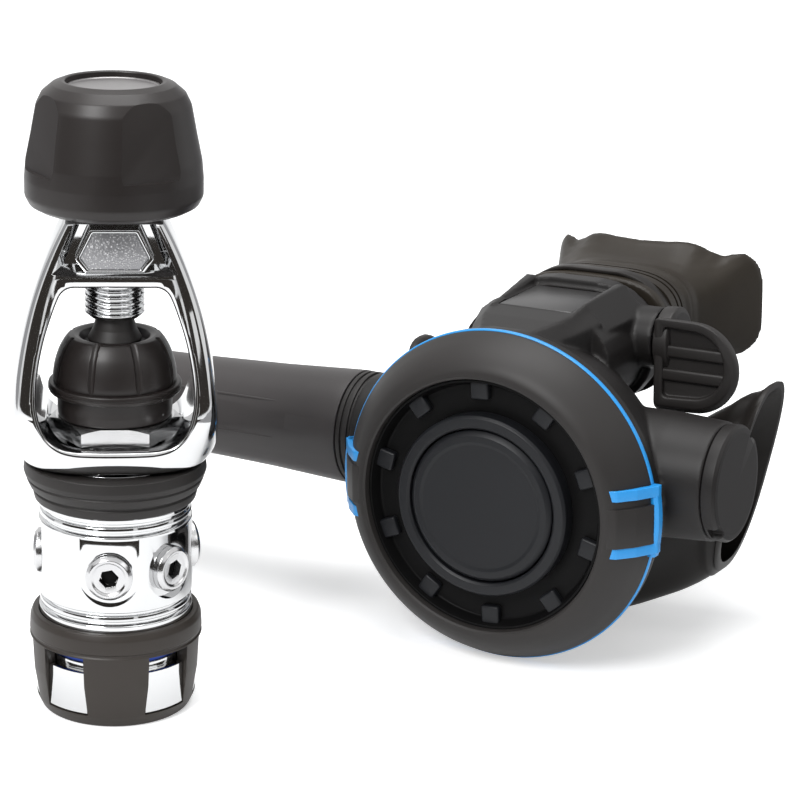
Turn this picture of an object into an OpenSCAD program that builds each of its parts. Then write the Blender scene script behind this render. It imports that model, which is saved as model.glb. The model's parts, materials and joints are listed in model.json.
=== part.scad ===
// Scuba regulator set: yoke first stage, hose and second stage, at full size in millimetres.
// Origin: middle of the first stage's end face on the floor. Z up, the second stage towards +X,
// and the hose's port towards +Y.

/* [First stage] */
// outside diameter of the chrome body
body_d = 40.4; // [40:0.1:41]
// height of the chrome body between guard and collar
body_h = 34; // [33:0.5:36]
// height of the neck that the yoke stands on
neck_h = 10.5; // [10:0.5:12]
// wall of the guard outside the chamber cap
guard_wall = 4; // [3:0.2:4.4]
// stroke of the piston
piston_stroke = 1.5; // [1:0.1:1.8]
// wire of the piston spring
spring_wire = 2.4; // [1.8:0.1:2.6]
// distance of the ports' flats from the axis
port_flat = 18.7; // [18.4:0.1:19]
// hexagon socket of the port plugs, across flats
plug_socket = 4.5; // [4:0.1:5]

/* [Yoke and knob] */
// height of the window inside the yoke
window_h = 41.3; // [40:0.1:44]
// depth of the yoke at its foot, front to back
yoke_depth = 39; // [38:0.5:40]
// outside diameter of the clamp screw
screw_d = 15.4; // [14:0.1:16]
// pitch of the clamp screw
thread_pitch = 1.6; // [1.5:0.1:2]
// widest diameter of the knob
knob_d = 45.4; // [44:0.2:48]
// height of the knob
knob_h = 32.5; // [31:0.5:34]

/* [Second stage] */
// diameter of the case and cover
case_d = 94.8; // [94:0.2:96]
// diameter of the purge button
purge_d = 43.2; // [42:0.2:43.4]
// travel of the purge button
purge_travel = 3; // [2:0.1:3]
// length of the barrel from the case's middle to its cap
barrel_len = 57; // [56:0.5:58]
// width of the mouthpiece's flange
flange_w = 66; // [62:1:68]
// length of the bite tabs
tab_len = 13; // [10:0.5:14]
// thickness of the soft exhaust wall
tee_wall = 1.8; // [1.5:0.1:2.2]

/* [Hose] */
// outside diameter of the hose
hose_d = 11.5; // [11:0.1:12]
// bore of the hose
hose_bore = 5; // [4.6:0.1:5.4]

/* [Fits] */
// radial clearance of running fits
run_fit = 0.05; // [0.03:0.01:0.08]
// gap between soft pieces that move past each other
soft_gap = 0.4; // [0.3:0.05:0.5]

/* [Hidden] */
$fn = 64;
e = 0.01;
body_r = body_d / 2;
// heights of the first stage
z_cap = 3;
z_ring = 17;
z_body = 24;
z_port = z_body + 18;
z_neck = z_body + body_h;
z_yoke = z_neck + neck_h;
z_nut = z_yoke + 7.2;
z_seal = z_nut + 4.7;
z_bar = z_nut + window_h;
z_top = z_bar + 17.5;
z_tip = z_seal + 19.3;
z_screw = z_tip + 7.1;
z_knob = z_top + 1;
// radii of the first stage
spigot_r = 16.4;
cap_r = 18.6;
chamber_r = 15.2;
stem_r = 4;
lp_r = 9.5;
neck_r = 17.5;
inlet_r = 11.6;
screw_r = screw_d / 2;
screw_bore = screw_r + run_fit;
knob_r = knob_d / 2;
low_ports = [-95, -5, 47];
high_port = 108;
// second stage
case_r = case_d / 2;
stage_at = [99, 16.6, case_r];
stage_turn = -34.6;
stage_roll = -2.3;
lip = 11.4;
rim = 13;
axis_b = 35;
axis_u = 5.75;
nut_at = 40;
tube_r = 8;
arm = 24;
lever_at = [0, 60, 37];
lever_r = 8.8;
mouth_u = 33;
hose_r = hose_d / 2;
ferrule_r = hose_r + 1.4;
// hose: middle points of the free length, on the floor behind the set
free_route = [
    [-1, 133, 46], [-8, 152, 42], [-7, 171, 35], [1, 188, 27],
    [15, 201, 19], [33, 208, 13], [53, 209, 8], [72, 202, 6],
    [89, 191, 6], [105, 178, 6], [126, 173, 6], [146, 178, 6],
    [161, 190, 6], [170, 209, 6], [170, 229, 6], [161, 248, 6],
    [144, 261, 6], [122, 265, 6], [105, 261, 6], [88, 249, 6],
    [73, 236, 6], [54, 229, 6], [34, 229, 6], [14, 224, 6],
    [-2, 212, 6], [-12, 193, 6], [-13, 173, 6], [-13, 152, 6],
    [-11, 132, 11], [-8, 114, 20], [-4, 96, 31], [-1, 77, 39]];
port_end = [0, 58, z_port];

// ---- helpers -------------------------------------------------------------------------------

function unit(v) = v / norm(v);

// ring of points round c, square to t, radius r, n sides
function ring_at(c, t, r, n) =
    let (s = unit(cross(t, [0, 0, 1])), u = cross(s, t))
    [for (i = [0:n - 1]) c + r * (cos(360 * i / n) * s + sin(360 * i / n) * u)];

// direction of a path at point i, with given end directions
function heading(p, i, a, b) =
    i == 0 ? a : i == len(p) - 1 ? b : unit(unit(p[i + 1] - p[i]) + unit(p[i] - p[i - 1]));

// tube with a bore along a path
module tube_along(p, a, b, outer, bore, n) {
    m = len(p);
    rings = [for (r = [outer, bore]) for (i = [0:m - 1]) each ring_at(p[i], heading(p, i, a, b), r, n)];
    wall = m * n;
    polyhedron(points = rings, faces = concat(
        [for (i = [0:m - 2]) for (j = [0:n - 1]) let (k = (j + 1) % n)
            each [[i * n + j, i * n + k, (i + 1) * n + k], [i * n + j, (i + 1) * n + k, (i + 1) * n + j]]],
        [for (i = [0:m - 2]) for (j = [0:n - 1]) let (k = (j + 1) % n)
            each [[wall + i * n + k, wall + i * n + j, wall + (i + 1) * n + j],
                [wall + i * n + k, wall + (i + 1) * n + j, wall + (i + 1) * n + k]]],
        [for (j = [0:n - 1]) let (k = (j + 1) % n)
            each [[k, j, wall + j], [k, wall + j, wall + k]]],
        [for (j = [0:n - 1]) let (k = (j + 1) % n, q = (m - 1) * n)
            each [[q + j, q + k, wall + q + k], [q + j, wall + q + k, wall + q + j]]]));
}

// coil along +Z from 0 to h, middle radius r, closed ends
module coil(r, h, wire, turns, steps = 14, n = 8) {
    m = round(turns * steps);
    w = wire / 2;
    p = [for (i = [0:m]) let (t = i / m, a = 360 * turns * t,
            k = min(1, max(0, (t * turns - 0.75) / (turns - 1.5))))
        [r * cos(a), r * sin(a), w + (h - wire) * k]];
    loft([for (i = [0:m]) let (a = 360 * turns * i / m) [for (j = [0:n - 1])
        p[i] + w * [cos(a) * cos(360 * j / n), sin(a) * cos(360 * j / n), sin(360 * j / n)]]]);
}

// closed skin through a row of rings with the same number of points
module loft(rings) {
    m = len(rings);
    n = len(rings[0]);
    polyhedron(points = [for (r = rings) each r], faces = concat(
        [for (i = [0:m - 2]) for (j = [0:n - 1]) let (k = (j + 1) % n)
            each [[i * n + j, i * n + k, (i + 1) * n + k], [i * n + j, (i + 1) * n + k, (i + 1) * n + j]]],
        [[for (j = [0:n - 1]) n - 1 - j]],
        [[for (j = [0:n - 1]) (m - 1) * n + j]]));
}

module disc(r, z0, z1, inner = 0) {
    translate([0, 0, z0]) difference() {
        cylinder(r = r, h = z1 - z0);
        if (inner > 0) translate([0, 0, -1]) cylinder(r = inner, h = z1 - z0 + 2);
    }
}

module hexagon(af, z0, z1) {
    translate([0, 0, z0]) cylinder(r = af / sqrt(3), h = z1 - z0, $fn = 6);
}

// seal ring of section radius s round Z
module seal(r, s, z) {
    translate([0, 0, z]) rotate_extrude() translate([r, 0]) circle(r = s, $fn = 24);
}

module to_port(a) { rotate([0, 0, a]) rotate([90, 0, 0]) children(); }
module in_stage() {
    translate(stage_at) rotate([0, 0, stage_turn]) rotate([0, stage_roll, 0]) children();
}
module about_b() { rotate([-90, 0, 0]) children(); }
module about_r(b = axis_b, u = axis_u) { translate([0, b, u]) rotate([0, 90, 0]) children(); }

// ---- first stage ---------------------------------------------------------------------------

module guard() color("#1c1d1f") {
    inner = cap_r + 0.2;
    outer = inner + guard_wall;
    difference() {
        rotate_extrude() polygon([[0, 0], [outer - 3.1, 0], [outer - 1.8, 3], [outer - 0.4, 12],
            [outer, 20], [outer - 0.2, 25], [outer - 0.9, 26.8], [body_r + 0.15, 26.8],
            [body_r + 0.15, z_body], [inner, z_body], [inner, z_cap], [0, z_cap]]);
        for (a = [-38.5, 38.5, -90, 90, -141.5, 141.5])
            rotate([0, 0, a]) translate([-5.9, -30, 3.5]) cube([11.8, 18, 16]);
    }
}

module chamber_cap() color("#c9ccd0") difference() {
    disc(cap_r, z_cap, z_ring);
    disc(chamber_r, 5.4, z_ring + 1);
    disc(spigot_r + run_fit, 12.2, z_ring + 1);
}

module blue_ring() color("#1546b0") disc(18.4, z_ring, z_ring + 2.7, spigot_r + run_fit);

seat_z = z_port + 9.25;
crown_z = seat_z + piston_stroke + 0.05;

module piston() color("#b9a46a") difference() {
    union() {
        disc(chamber_r - run_fit, 5.6, 10);
        disc(stem_r, 9, seat_z - 0.4);
    }
    disc(chamber_r, 6.8, 8.9, 13.2);
    disc(1.5, 5, z_port + 2);
    disc(2.6, seat_z - 2.5, seat_z + 1);
    translate([-9, 0, z_port + 1]) rotate([0, 90, 0]) cylinder(r = 1.1, h = 18, $fn = 24);
}

module piston_seal() color("#222326") seal(14.15, 0.94, 7.85);

module stem_seal() color("#222326") seal(stem_r + 1.15, 0.95, z_body + 6.2);

module high_seat() color("#e8e4d4") disc(2.55, seat_z - 2.5, seat_z);

module piston_spring() color("#9aa0a6") translate([0, 0, 10])
    coil(11, z_body - 10, spring_wire, 4.5, 14, 8);

module port_cut() {
    // flat with a round foot, then the threaded bore and the way into the chamber
    translate([0, 0, port_flat]) linear_extrude(5) {
        circle(r = 8);
        translate([-8, 0]) square([16, z_neck - 5 - z_port]);
    }
    translate([0, 0, port_flat - 1.1]) cylinder(r = 5.65, h = 3);
    translate([0, 0, port_flat - 7.2]) cylinder(r = 4.75, h = 9);
}

module first_body() color("#c9ccd0") {
    difference() {
        union() {
            disc(body_r, z_body, z_neck);
            disc(spigot_r, 12.4, z_body + 1);
            disc(neck_r, z_neck - 1, z_yoke);
        }
        disc(chamber_r, 12, z_body);
        disc(body_r + 2, z_neck - 5.1, z_neck - 3, body_r - 0.8);
        disc(body_r + 2, z_body + 5.3, z_body + 7, body_r - 0.8);
        disc(stem_r + run_fit, z_body - 1, z_port);
        disc(stem_r + 2.2, z_body + 5.2, z_body + 7.2);
        disc(lp_r, z_port - 6, crown_z + 1);
        disc(inlet_r, z_neck - 2, z_yoke + 1);
        disc(1.3, crown_z, z_neck);
        for (a = concat(low_ports, [high_port, 180])) to_port(a) translate([0, z_port, 0]) port_cut();
        for (a = concat(low_ports, [180]))
            to_port(a) translate([0, z_port, 6]) cylinder(r = 2.4, h = 6);
        rotate([0, 0, high_port]) translate([0, -11.8, z_port - 1])
            cylinder(r = 1.1, h = z_neck - z_port + 1);
        for (a = [0:60:300])
            to_port(a) translate([0, z_body - 2.1, 14]) cylinder(r = 1.9, h = 4, $fn = 32);
    }
    disc(3.2, crown_z, crown_z + 1.5, 1.3);
}

module plug(head_r, proud) {
    difference() {
        union() {
            translate([0, 0, port_flat]) cylinder(r = head_r, h = proud - 0.4);
            translate([0, 0, port_flat + proud - 0.4]) cylinder(r1 = head_r, r2 = head_r - 0.4, h = 0.4);
            translate([0, 0, port_flat - 7]) cylinder(r = 4.7, h = 6);
            translate([0, 0, port_flat - 1.1]) cylinder(r = 4.55, h = 1.2);
        }
        translate([0, 0, port_flat + proud - 3.2]) cylinder(r = plug_socket / sqrt(3), h = 5, $fn = 6);
    }
}

module port_plugs() color("#b7bbc0") for (a = low_ports) to_port(a) translate([0, z_port, 0]) plug(6.05, 2.6);

module high_plug() color("#b7bbc0") to_port(high_port) translate([0, z_port, 0]) plug(6.75, 3);

module plug_seals() color("#222326") for (a = concat(low_ports, [high_port]))
    to_port(a) translate([0, z_port, 0]) seal(5.1, 0.53, port_flat - 0.54);

module collar_ring() color("#1c1d1f") rotate_extrude() polygon([[neck_r + run_fit, z_neck],
    [21.2, z_neck], [21.6, z_neck + 2.6], [22.4, z_neck + 3], [23.9, z_neck + 7.2],
    [23.6, z_yoke - 0.1], [neck_r + run_fit, z_yoke - 0.1]]);

// ---- yoke, inlet and knob ------------------------------------------------------------------

module yoke_outline() intersection() {
    translate([-98.8, z_nut + 0.3]) circle(r = 125.5, $fn = 256);
    translate([98.8, z_nut + 0.3]) circle(r = 125.5, $fn = 256);
    polygon([[-23.5, z_yoke], [23.5, z_yoke], [27, z_yoke + 4], [27, z_top], [-27, z_top],
        [-27, z_yoke + 4]]);
}

module window_outline() intersection() {
    translate([-84.5, z_nut + 4.3]) circle(r = 105, $fn = 256);
    translate([84.5, z_nut + 4.3]) circle(r = 105, $fn = 256);
    polygon([[-12.6, z_nut], [12.6, z_nut], [19, z_nut + 5], [20.6, z_nut + 9], [20.6, z_bar - 20],
        [14.2, z_bar - 4], [10.6, z_bar], [-10.6, z_bar], [-14.2, z_bar - 4], [-20.6, z_bar - 20],
        [-20.6, z_nut + 9], [-19, z_nut + 5]]);
}

module pocket_outline() polygon([[-17.2, z_bar + 3.6], [17.2, z_bar + 3.6], [11.2, z_top - 1.6],
    [-11.2, z_top - 1.6]]);

module yoke() color("#c9ccd0") {
    half = yoke_depth / 2;
    difference() {
        intersection() {
            translate([0, half + 1, 0]) rotate([90, 0, 0]) linear_extrude(yoke_depth + 2) yoke_outline();
            rotate([90, 0, 90]) translate([0, 0, -40]) linear_extrude(80) polygon([
                [-half + 2.5, z_yoke], [half - 2.5, z_yoke], [half, z_yoke + 2.5],
                [half, z_nut + 7.3], [13, z_bar - 5], [12.5, z_top], [-12.5, z_top],
                [-13, z_bar - 5], [-half, z_nut + 7.3], [-half, z_yoke + 2.5]]);
            for (s = [-1, 1]) rotate([0, 0, s * 35]) translate([0, 60, 0]) rotate([90, 0, 0])
                linear_extrude(120) bevel_outline();
        }
        translate([0, half + 2, 0]) rotate([90, 0, 0]) linear_extrude(yoke_depth + 4) window_outline();
        for (s = [0, 180]) rotate([0, 0, s]) translate([0, -8.7, 0]) rotate([90, 0, 0])
            linear_extrude(8) pocket_outline();
        disc(12.6, z_yoke - 1, z_nut + 1);
        disc(17.7, z_nut, z_nut + 6);
        disc(screw_bore + 0.02, z_bar - 1, z_top + 1);
    }
}

// outline that trims the arms' outer corners, square to a line turned from the front
module bevel_outline() intersection() {
    translate([-95.5, z_nut + 0.3]) circle(r = 125.5, $fn = 256);
    translate([95.5, z_nut + 0.3]) circle(r = 125.5, $fn = 256);
}

module yoke_badge() color("#8d9196") translate([0, -8.7, 0]) rotate([90, 0, 0]) linear_extrude(3)
    polygon([[-7.4, z_bar + 4], [7.4, z_bar + 4], [9.9, z_bar + 7.5], [6.2, z_bar + 15],
        [-6.2, z_bar + 15], [-9.9, z_bar + 7.5]]);

module yoke_retainer() color("#b7bbc0") difference() {
    union() {
        hexagon(30, z_nut, z_seal);
        disc(12.5, z_yoke, z_nut + 1);
        disc(inlet_r - run_fit, z_neck + 0.4, z_yoke + 1);
        disc(11, z_seal - 1, z_seal + 7.6);
    }
    disc(3.5, z_neck, z_seal + 8);
    disc(6, z_seal + 1, z_seal + 8);
    disc(9.6, z_seal + 6.3, z_seal + 8, 7.4);
}

module inlet_filter() color("#a87b45") translate([0, 0, z_seal + 1]) difference() {
    cylinder(r1 = 3.4, r2 = 5.9, h = 4);
    translate([0, 0, 1]) cylinder(r1 = 2.2, r2 = 4.4, h = 3.1);
}

module filter_ring() color("#8d9196") disc(5.95, z_seal + 5, z_seal + 6, 4.2);

module inlet_seal() color("#222326") seal(8.5, 0.62, z_seal + 6.95);

module dust_cap() color("#1c1d1f") difference() {
    union() {
        rotate_extrude() polygon([[0, z_seal + 0.1], [14.9, z_seal + 0.1], [14.9, z_seal + 6.6],
            [17.3, z_seal + 6.6], [17.3, z_seal + 9.1], [0, z_seal + 9.1]]);
        translate([0, 0, z_seal + 9]) rotate([0, 0, 22.5]) cylinder(r1 = 15.9, r2 = 10.4, h = 12.6, $fn = 8);
    }
    disc(11 + 0.35, z_seal - 1, z_seal + 8.1);
    disc(8, z_tip - 0.5, z_tip + 9);
}

module yoke_screw() color("#b7bbc0") {
    p = thread_pitch;
    turns = floor((z_top - z_screw) / p);
    rotate_extrude() polygon(concat([[0, z_screw], [screw_r - 1.4, z_screw], [screw_r, z_screw + 1.2]],
        [for (i = [0:turns - 1]) let (z = z_screw + 1.2 + i * p)
            each [[screw_r, z + 0.3], [screw_r - 0.75, z + p / 2], [screw_r, z + p - 0.3]]],
        [[screw_r, z_knob + 14], [0, z_knob + 14]]));
}

module screw_tip() color("#1c1d1f") rotate_extrude() polygon([[0, z_tip], [7, z_tip], [7, z_tip + 1.5],
    [4.4, z_screw], [0, z_screw]]);

module knob() color("#232427") difference() {
    k = knob_r / 22.7;
    q = knob_h / 32.5;
    translate([0, 0, z_knob]) intersection() {
        rotate_extrude() polygon([[0, 0], [19.5 * k, 0], [21.6 * k, 1.2 * q], [22.7 * k, 3.1 * q],
            [22.7 * k, 7.9 * q], [22.3 * k, 12.5 * q], [21 * k, 18.9 * q], [19.6 * k, 26.7 * q],
            [18.4 * k, 29.2 * q], [15.5 * k, 31.6 * q], [13.2 * k, 32.5 * q], [0, 32.5 * q]]);
        union() {
            translate([0, 0, -1]) cylinder(r = knob_r + 2, h = 1.1 + knob_h * 0.32);
            rotate([0, 0, 26]) knob_core();
        }
    }
    disc(screw_r + 0.02, z_knob - 1, z_knob + 14);
    disc(12.2, z_knob + knob_h - 3, z_knob + knob_h + 1);
}

// four slanting flats round the knob's upper part
module knob_core() {
    b = 21.1 * knob_r / 22.7;
    t = 17.3 * knob_r / 22.7;
    translate([0, 0, knob_h * 0.32]) rotate([0, 0, 45])
        cylinder(r1 = b * sqrt(2), r2 = t * sqrt(2), h = knob_h * 0.68 + 0.5, $fn = 4);
}

module knob_disc() color("#a9acb0") disc(12.15, z_knob + knob_h - 3, z_knob + knob_h - 1.4);

// ---- hose ----------------------------------------------------------------------------------

function turn_r(v) =
    let (a = [v[0] * cos(stage_roll) + v[2] * sin(stage_roll), v[1],
        -v[0] * sin(stage_roll) + v[2] * cos(stage_roll)])
    [a[0] * cos(stage_turn) - a[1] * sin(stage_turn), a[0] * sin(stage_turn) + a[1] * cos(stage_turn), a[2]];
function stage_point(v) = stage_at + turn_r(v);
out = turn_r([-1, 0, 0]);
hose_route = concat([for (x = [-62, -84, -106, -128]) stage_point([x, axis_b, axis_u])],
    free_route, [port_end]);

module port_fitting() color("#b7bbc0") to_port(180) translate([0, z_port, 0]) difference() {
    union() {
        translate([0, 0, port_flat - 7]) cylinder(r = 4.7, h = 8);
        translate([0, 0, port_flat]) cylinder(r = 7.6, h = 2);
        translate([0, 0, port_flat + 2]) cylinder(r = 14 / sqrt(3), h = 7, $fn = 6);
        translate([0, 0, port_flat + 9]) cylinder(r = 5.4, h = 8.3);
        translate([0, 0, port_flat + 17]) cylinder(r = 2.2, h = 22);
    }
    translate([0, 0, port_flat - 9]) cylinder(r = 1.5, h = 60);
}

module port_ferrule() color("#a9adb2") translate([0, 0, z_port]) rotate([-90, 0, 0]) difference() {
    union() {
        disc(ferrule_r, port_flat + 17.3, 57.9);
        disc(ferrule_r + 0.5, port_flat + 18, port_flat + 20);
    }
    disc(hose_r + 0.05, port_flat + 17, 60);
}

module hose() color("#18191b") tube_along(concat(hose_route, [[0, port_flat + 17.4, z_port]]), out,
    [0, -1, 0], hose_r, hose_bore / 2, 12);

module case_ferrule() color("#a9adb2") in_stage() about_r() disc(ferrule_r, -90, -62, hose_r + 0.05);

module hose_sleeve() color("#1b1c1e") in_stage() about_r() difference() {
    rotate_extrude() polygon([[13.4, -128], [14.2, -127], [14.6, -108], [15.4, -84], [16.8, -60],
        [16.8, -56.7], [10.6, -56.7], [10.6, -62], [ferrule_r + 0.1, -62], [ferrule_r + 0.1, -91],
        [hose_r + 0.1, -91], [hose_r + 0.1, -128]]);
    for (s = [-1, 1]) translate([-4.6, s * 14.6 - 1.5, -129]) cube([13.6, 3, 45]);
}

module swivel_nut() color("#b7bbc0") in_stage() about_r() difference() {
    union() {
        disc(10.2, -61.8, -50.3);
        disc(5.2, -51, -46);
        disc(2.2, -84, -61);
    }
    disc(1.5, -85, -45);
}

// ---- second stage: cover and sheet -----------------------------------------------------------

module purge_button() color("#26272a") in_stage() about_b() difference() {
    union() {
        rotate_extrude() polygon([[0, 0.6], [17.4, 0], [18.6, -0.3], [purge_d / 2 - 0.8, 0],
            [purge_d / 2, 0.9], [purge_d / 2, 3.5], [purge_d / 2 - 1.8, 3.5],
            [purge_d / 2 - 1.8, 1.9], [0, 1.9]]);
        disc(6, 1.5, 11, 4.6);
        disc(6, 9.6, 11);
    }
}

module purge_spring() color("#9aa0a6") in_stage() about_b() translate([0, 0, 1.9])
    coil(8, 5.1, 0.7, 2.8, 14, 8);

module front_cover() color("#1b1c1e") in_stage() about_b() difference() {
    bore = purge_d / 2 + soft_gap;
    hub = purge_d / 2 + 4.2;
    union() {
        rotate_extrude() polygon([[6 + run_fit, 7], [bore, 7], [bore, 0.6], [bore + 0.6, 0],
            [hub - 0.6, 0], [hub, 0.6], [hub, 6], [case_r - 12.9, 6], [case_r - 11.4, 0.6],
            [case_r - 10.8, 0], [case_r - 7.4, 1.5],
            [case_r - 3.4, 6], [case_r - 0.9, 10], [case_r - 0.4, lip], [case_r - 6.2, lip],
            [case_r - 6.2, 7.2], [case_r - 8.2, 3.6], [case_r - 10.4, 3.4],
            [case_r - 11.8, 8.6], [6 + run_fit, 8.6]]);
        for (i = [0:9]) rotate([0, 0, i * 36 + 87]) translate([case_r - 18.2, -2.85, 3.2]) cube([4.6, 5.7, 3]);
    }
    for (i = [0:9]) rotate([0, 0, i * 36 + 105]) translate([case_r - 19.2, -2.6, 3]) cube([5.2, 5.2, 8]);
    for (i = [0:5]) rotate([0, 0, i * 60]) translate([14.5, 0, 5]) cylinder(r = 2.6, h = 6, $fn = 32);
    for (s = [0, 180], y = [-8.6, 7.5]) rotate([0, 0, s]) translate([0, s > 0 ? -y : y, 0])
        rotate([90, 0, 0]) translate([0, 0, -1.55]) linear_extrude(3.1) polygon([
            [case_r - 10.5, -1], [case_r + 3, -1], [case_r + 3, 12], [case_r - 1.5, 12],
            [case_r - 1.7, 10.46], [case_r - 4.3, 6.76], [case_r - 8.1, 2.66], [case_r - 10.5, 1.86]]);
}

module trim_ring() color("#1546b0") in_stage() about_b() {
    disc(case_r, lip, rim, case_r - 3.2);
    for (s = [0, 180], y = [-8.6, 7.5]) rotate([0, 0, s]) translate([0, s > 0 ? -y : y, 0])
        rotate([90, 0, 0]) translate([0, 0, -1.5]) linear_extrude(3) polygon([
            [case_r - 10.4, 0.6], [case_r - 7, 1.2], [case_r - 2.9, 5.6], [case_r - 0.3, 9.7],
            [case_r + 1, lip], [case_r + 1, rim], [case_r - 1.4, rim], [case_r - 1.4, lip],
            [case_r - 1.6, 10.4], [case_r - 4.2, 6.7], [case_r - 8, 2.6], [case_r - 10.4, 1.8]]);
}

module diaphragm() color("#3b3d42") in_stage() about_b() rotate_extrude() polygon([[15.3, 12.1],
    [30, 12.1], [33, 13.4], [36, 13.4], [38.6, lip], [case_r - 3.3, lip], [case_r - 3.3, rim],
    [38.4, rim], [36.8, 14.4], [32.4, 14.4], [29.4, 13.1], [15.3, 13.1]]);

module diaphragm_plate() color("#c9c9c4") in_stage() about_b() {
    disc(15, 11.3, 12.7);
    disc(4, 12.6, 13.4);
}

// ---- second stage: case ----------------------------------------------------------------------

module oval(w, h) {
    r = h / 2;
    union() {
        square([w - h, h], center = true);
        for (s = [-1, 1]) translate([s * (w - h) / 2, 0]) circle(r = r);
    }
}

module neck_solid(w, h, b0, b1, u) {
    translate([0, b0, u]) rotate([-90, 0, 0]) linear_extrude(b1 - b0) oval(w, h);
}

// the way out of the exhaust valve, down and back from the bowl
module at_exhaust() { translate([0, 43.4, 23.1 - case_r]) rotate([-135, 0, 0]) children(); }

module bowl_skin(grow = 0) about_b() rotate_extrude() polygon([[0, rim - grow],
    [case_r - 0.4 + grow, rim - grow], [case_r - 0.4 + grow, 16.5], [case_r - 1.6 + grow, 17.6],
    [case_r - 3.4 + grow, 24], [case_r - 6.4 + grow, 34], [case_r - 12.4 + grow, 46],
    [case_r - 20.4 + grow, 54 + grow], [case_r - 30, 58 + grow], [0, 58 + grow]]);

module case() color("#232529") in_stage() {
    difference() {
        union() {
            bowl_skin();
            neck_solid(46, 32, 34, 77, mouth_u);
            about_r() disc(17.5, 10, 43);
            about_r() translate([0, 0, 43]) cylinder(r1 = 17.5, r2 = 16.5, h = barrel_len - 43);
            about_r() disc(16.8, -52, -10);
            about_r(lever_at[1], lever_at[2]) disc(lever_r, 8, 27.6);
            translate([24, 24, 30]) cube([3, 22, 14]);
            at_exhaust() cylinder(r = 12.5, h = 10);
        }
        about_b() rotate_extrude() polygon([[0, rim - 1], [38.6, rim - 1], [38.6, 16],
            [case_r - 7, 17], [case_r - 6, 24], [case_r - 9, 34], [case_r - 15, 45],
            [case_r - 22.4, 51.6], [case_r - 31, 55], [0, 55]]);
        neck_solid(40, 26, 36.6, 80, mouth_u);
        about_r() disc(tube_r + run_fit, -60, 60);
        about_r() disc(13.5, nut_at, barrel_len + 3);
        about_r() disc(10.6, -60, -46);
        about_r(lever_at[1], lever_at[2]) disc(2.5 + run_fit, 12, 60);
        translate([-11, 40, mouth_u + 15]) cube([22, 17, 6]);
        at_exhaust() translate([0, 0, -4]) cylinder(r = 9.5, h = 20);
    }
    at_exhaust() difference() {
        union() {
            disc(2.6, 7.7, 10);
            for (a = [0, 60, 120]) rotate([0, 0, a]) translate([-10, -0.8, 8.1]) cube([20, 1.6, 1.7]);
        }
        disc(1.3, 7, 11);
    }
}

module inlet_ring() color("#232529") in_stage() about_r() difference() {
    disc(16.7, -56.3, -52, 10.6);
    disc(18, -54.9, -54.3, 16);
    disc(18, -52.7, -52.1, 16);
}

module valve_tube() color("#b7bbc0") in_stage() about_r() difference() {
    union() {
        disc(tube_r, -50, 48);
        disc(10.4, -49.6, -46.05);
    }
    disc(5.2 + run_fit, -51, -31);
    disc(6, -31.5, 4);
    disc(2.4 + run_fit, 3, 7);
    disc(6, 6, 49);
    translate([-4.5, 4, -18]) cube([9, 6, 16]);
    translate([-5, -9, 22]) cube([10, 5, 6]);
}

module orifice() color("#a9adb2") in_stage() about_r() difference() {
    disc(5.2, -45.4, -30);
    disc(1.6, -46, -29);
}

module poppet() color("#d8d8d2") in_stage() about_r() difference() {
    union() {
        disc(6 - run_fit, -29, -22);
        disc(2.4, -23, 27);
        disc(4.4, 24.95, 26.4);
    }
    disc(3.35, -30, -26.1);
}

module poppet_seat() color("#3b3d42") in_stage() about_r() disc(3.3, -29.95, -26.1);

module poppet_spring() color("#9aa0a6") in_stage() about_r() translate([0, 0, -22])
    coil(4.2, 26, 0.9, 8.5, 12, 6);

module demand_lever() color("#b7bbc0") in_stage() {
    translate([0, 0, -2]) linear_extrude(4) polygon([[25, 25.2], [25, 26.4], [23.4, 26.4], [1, 14.8],
        [-2.5, 14.7], [-2.5, 13.75], [1, 13.75]]);
    translate([arm, 26, -4.2]) cylinder(r = 0.8, h = 8.4, $fn = 32);
    for (u = [-4.2, 2.8]) translate([23.6, 25.2, u]) cube([1.2, 5.8, 1.4]);
}

module lock_nut() color("#b7bbc0") in_stage() about_r() difference() {
    hexagon(20, nut_at + 0.05, nut_at + 6);
    disc(tube_r + 0.02, nut_at - 1, nut_at + 7);
}

module barrel_cap() color("#1b1c1e") in_stage() about_r() difference() {
    union() {
        disc(16.3, barrel_len, barrel_len + 4.3);
        disc(13.4, barrel_len - 6, barrel_len + 1);
    }
    disc(10.5, barrel_len - 7, barrel_len + 1.5);
    for (s = [-1, 1]) translate([-2.5, s * 16.3 - 2, barrel_len + 1]) cube([5, 4, 5]);
}

// ---- second stage: lever, mouthpiece and exhaust -----------------------------------------------

module flow_lever() color("#232529") in_stage() difference() {
    union() {
        about_r(lever_at[1], lever_at[2]) disc(9.5, 28.3, 33);
        translate([28.3, 51, 0]) rotate([90, 0, 0]) mirror([0, 0, 1]) linear_extrude(4) {
            translate([0, 18.6]) square([13, 26.8]);
            translate([12, 32]) scale([1, 1]) intersection() {
                circle(r = 13.4);
                translate([0, -20]) square([40, 40]);
            }
        }
    }
    about_r(lever_at[1], lever_at[2]) disc(2.55, 28, 32);
    for (i = [0:3]) translate([34, 50.4, 22.6 + i * 5.6]) cube([12, 1.4, 2.2]);
}

module lever_pin() color("#b7bbc0") in_stage() {
    about_r(lever_at[1], lever_at[2]) disc(2.5, 12, 32);
    translate([12, lever_at[1] - 6, lever_at[2] - 1.6]) cube([2.4, 12, 3.2]);
}

module label_plate() color("#8d9196") in_stage() translate([-10.9, 40.1, mouth_u + 15]) cube([21.8, 16.8, 1]);

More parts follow.
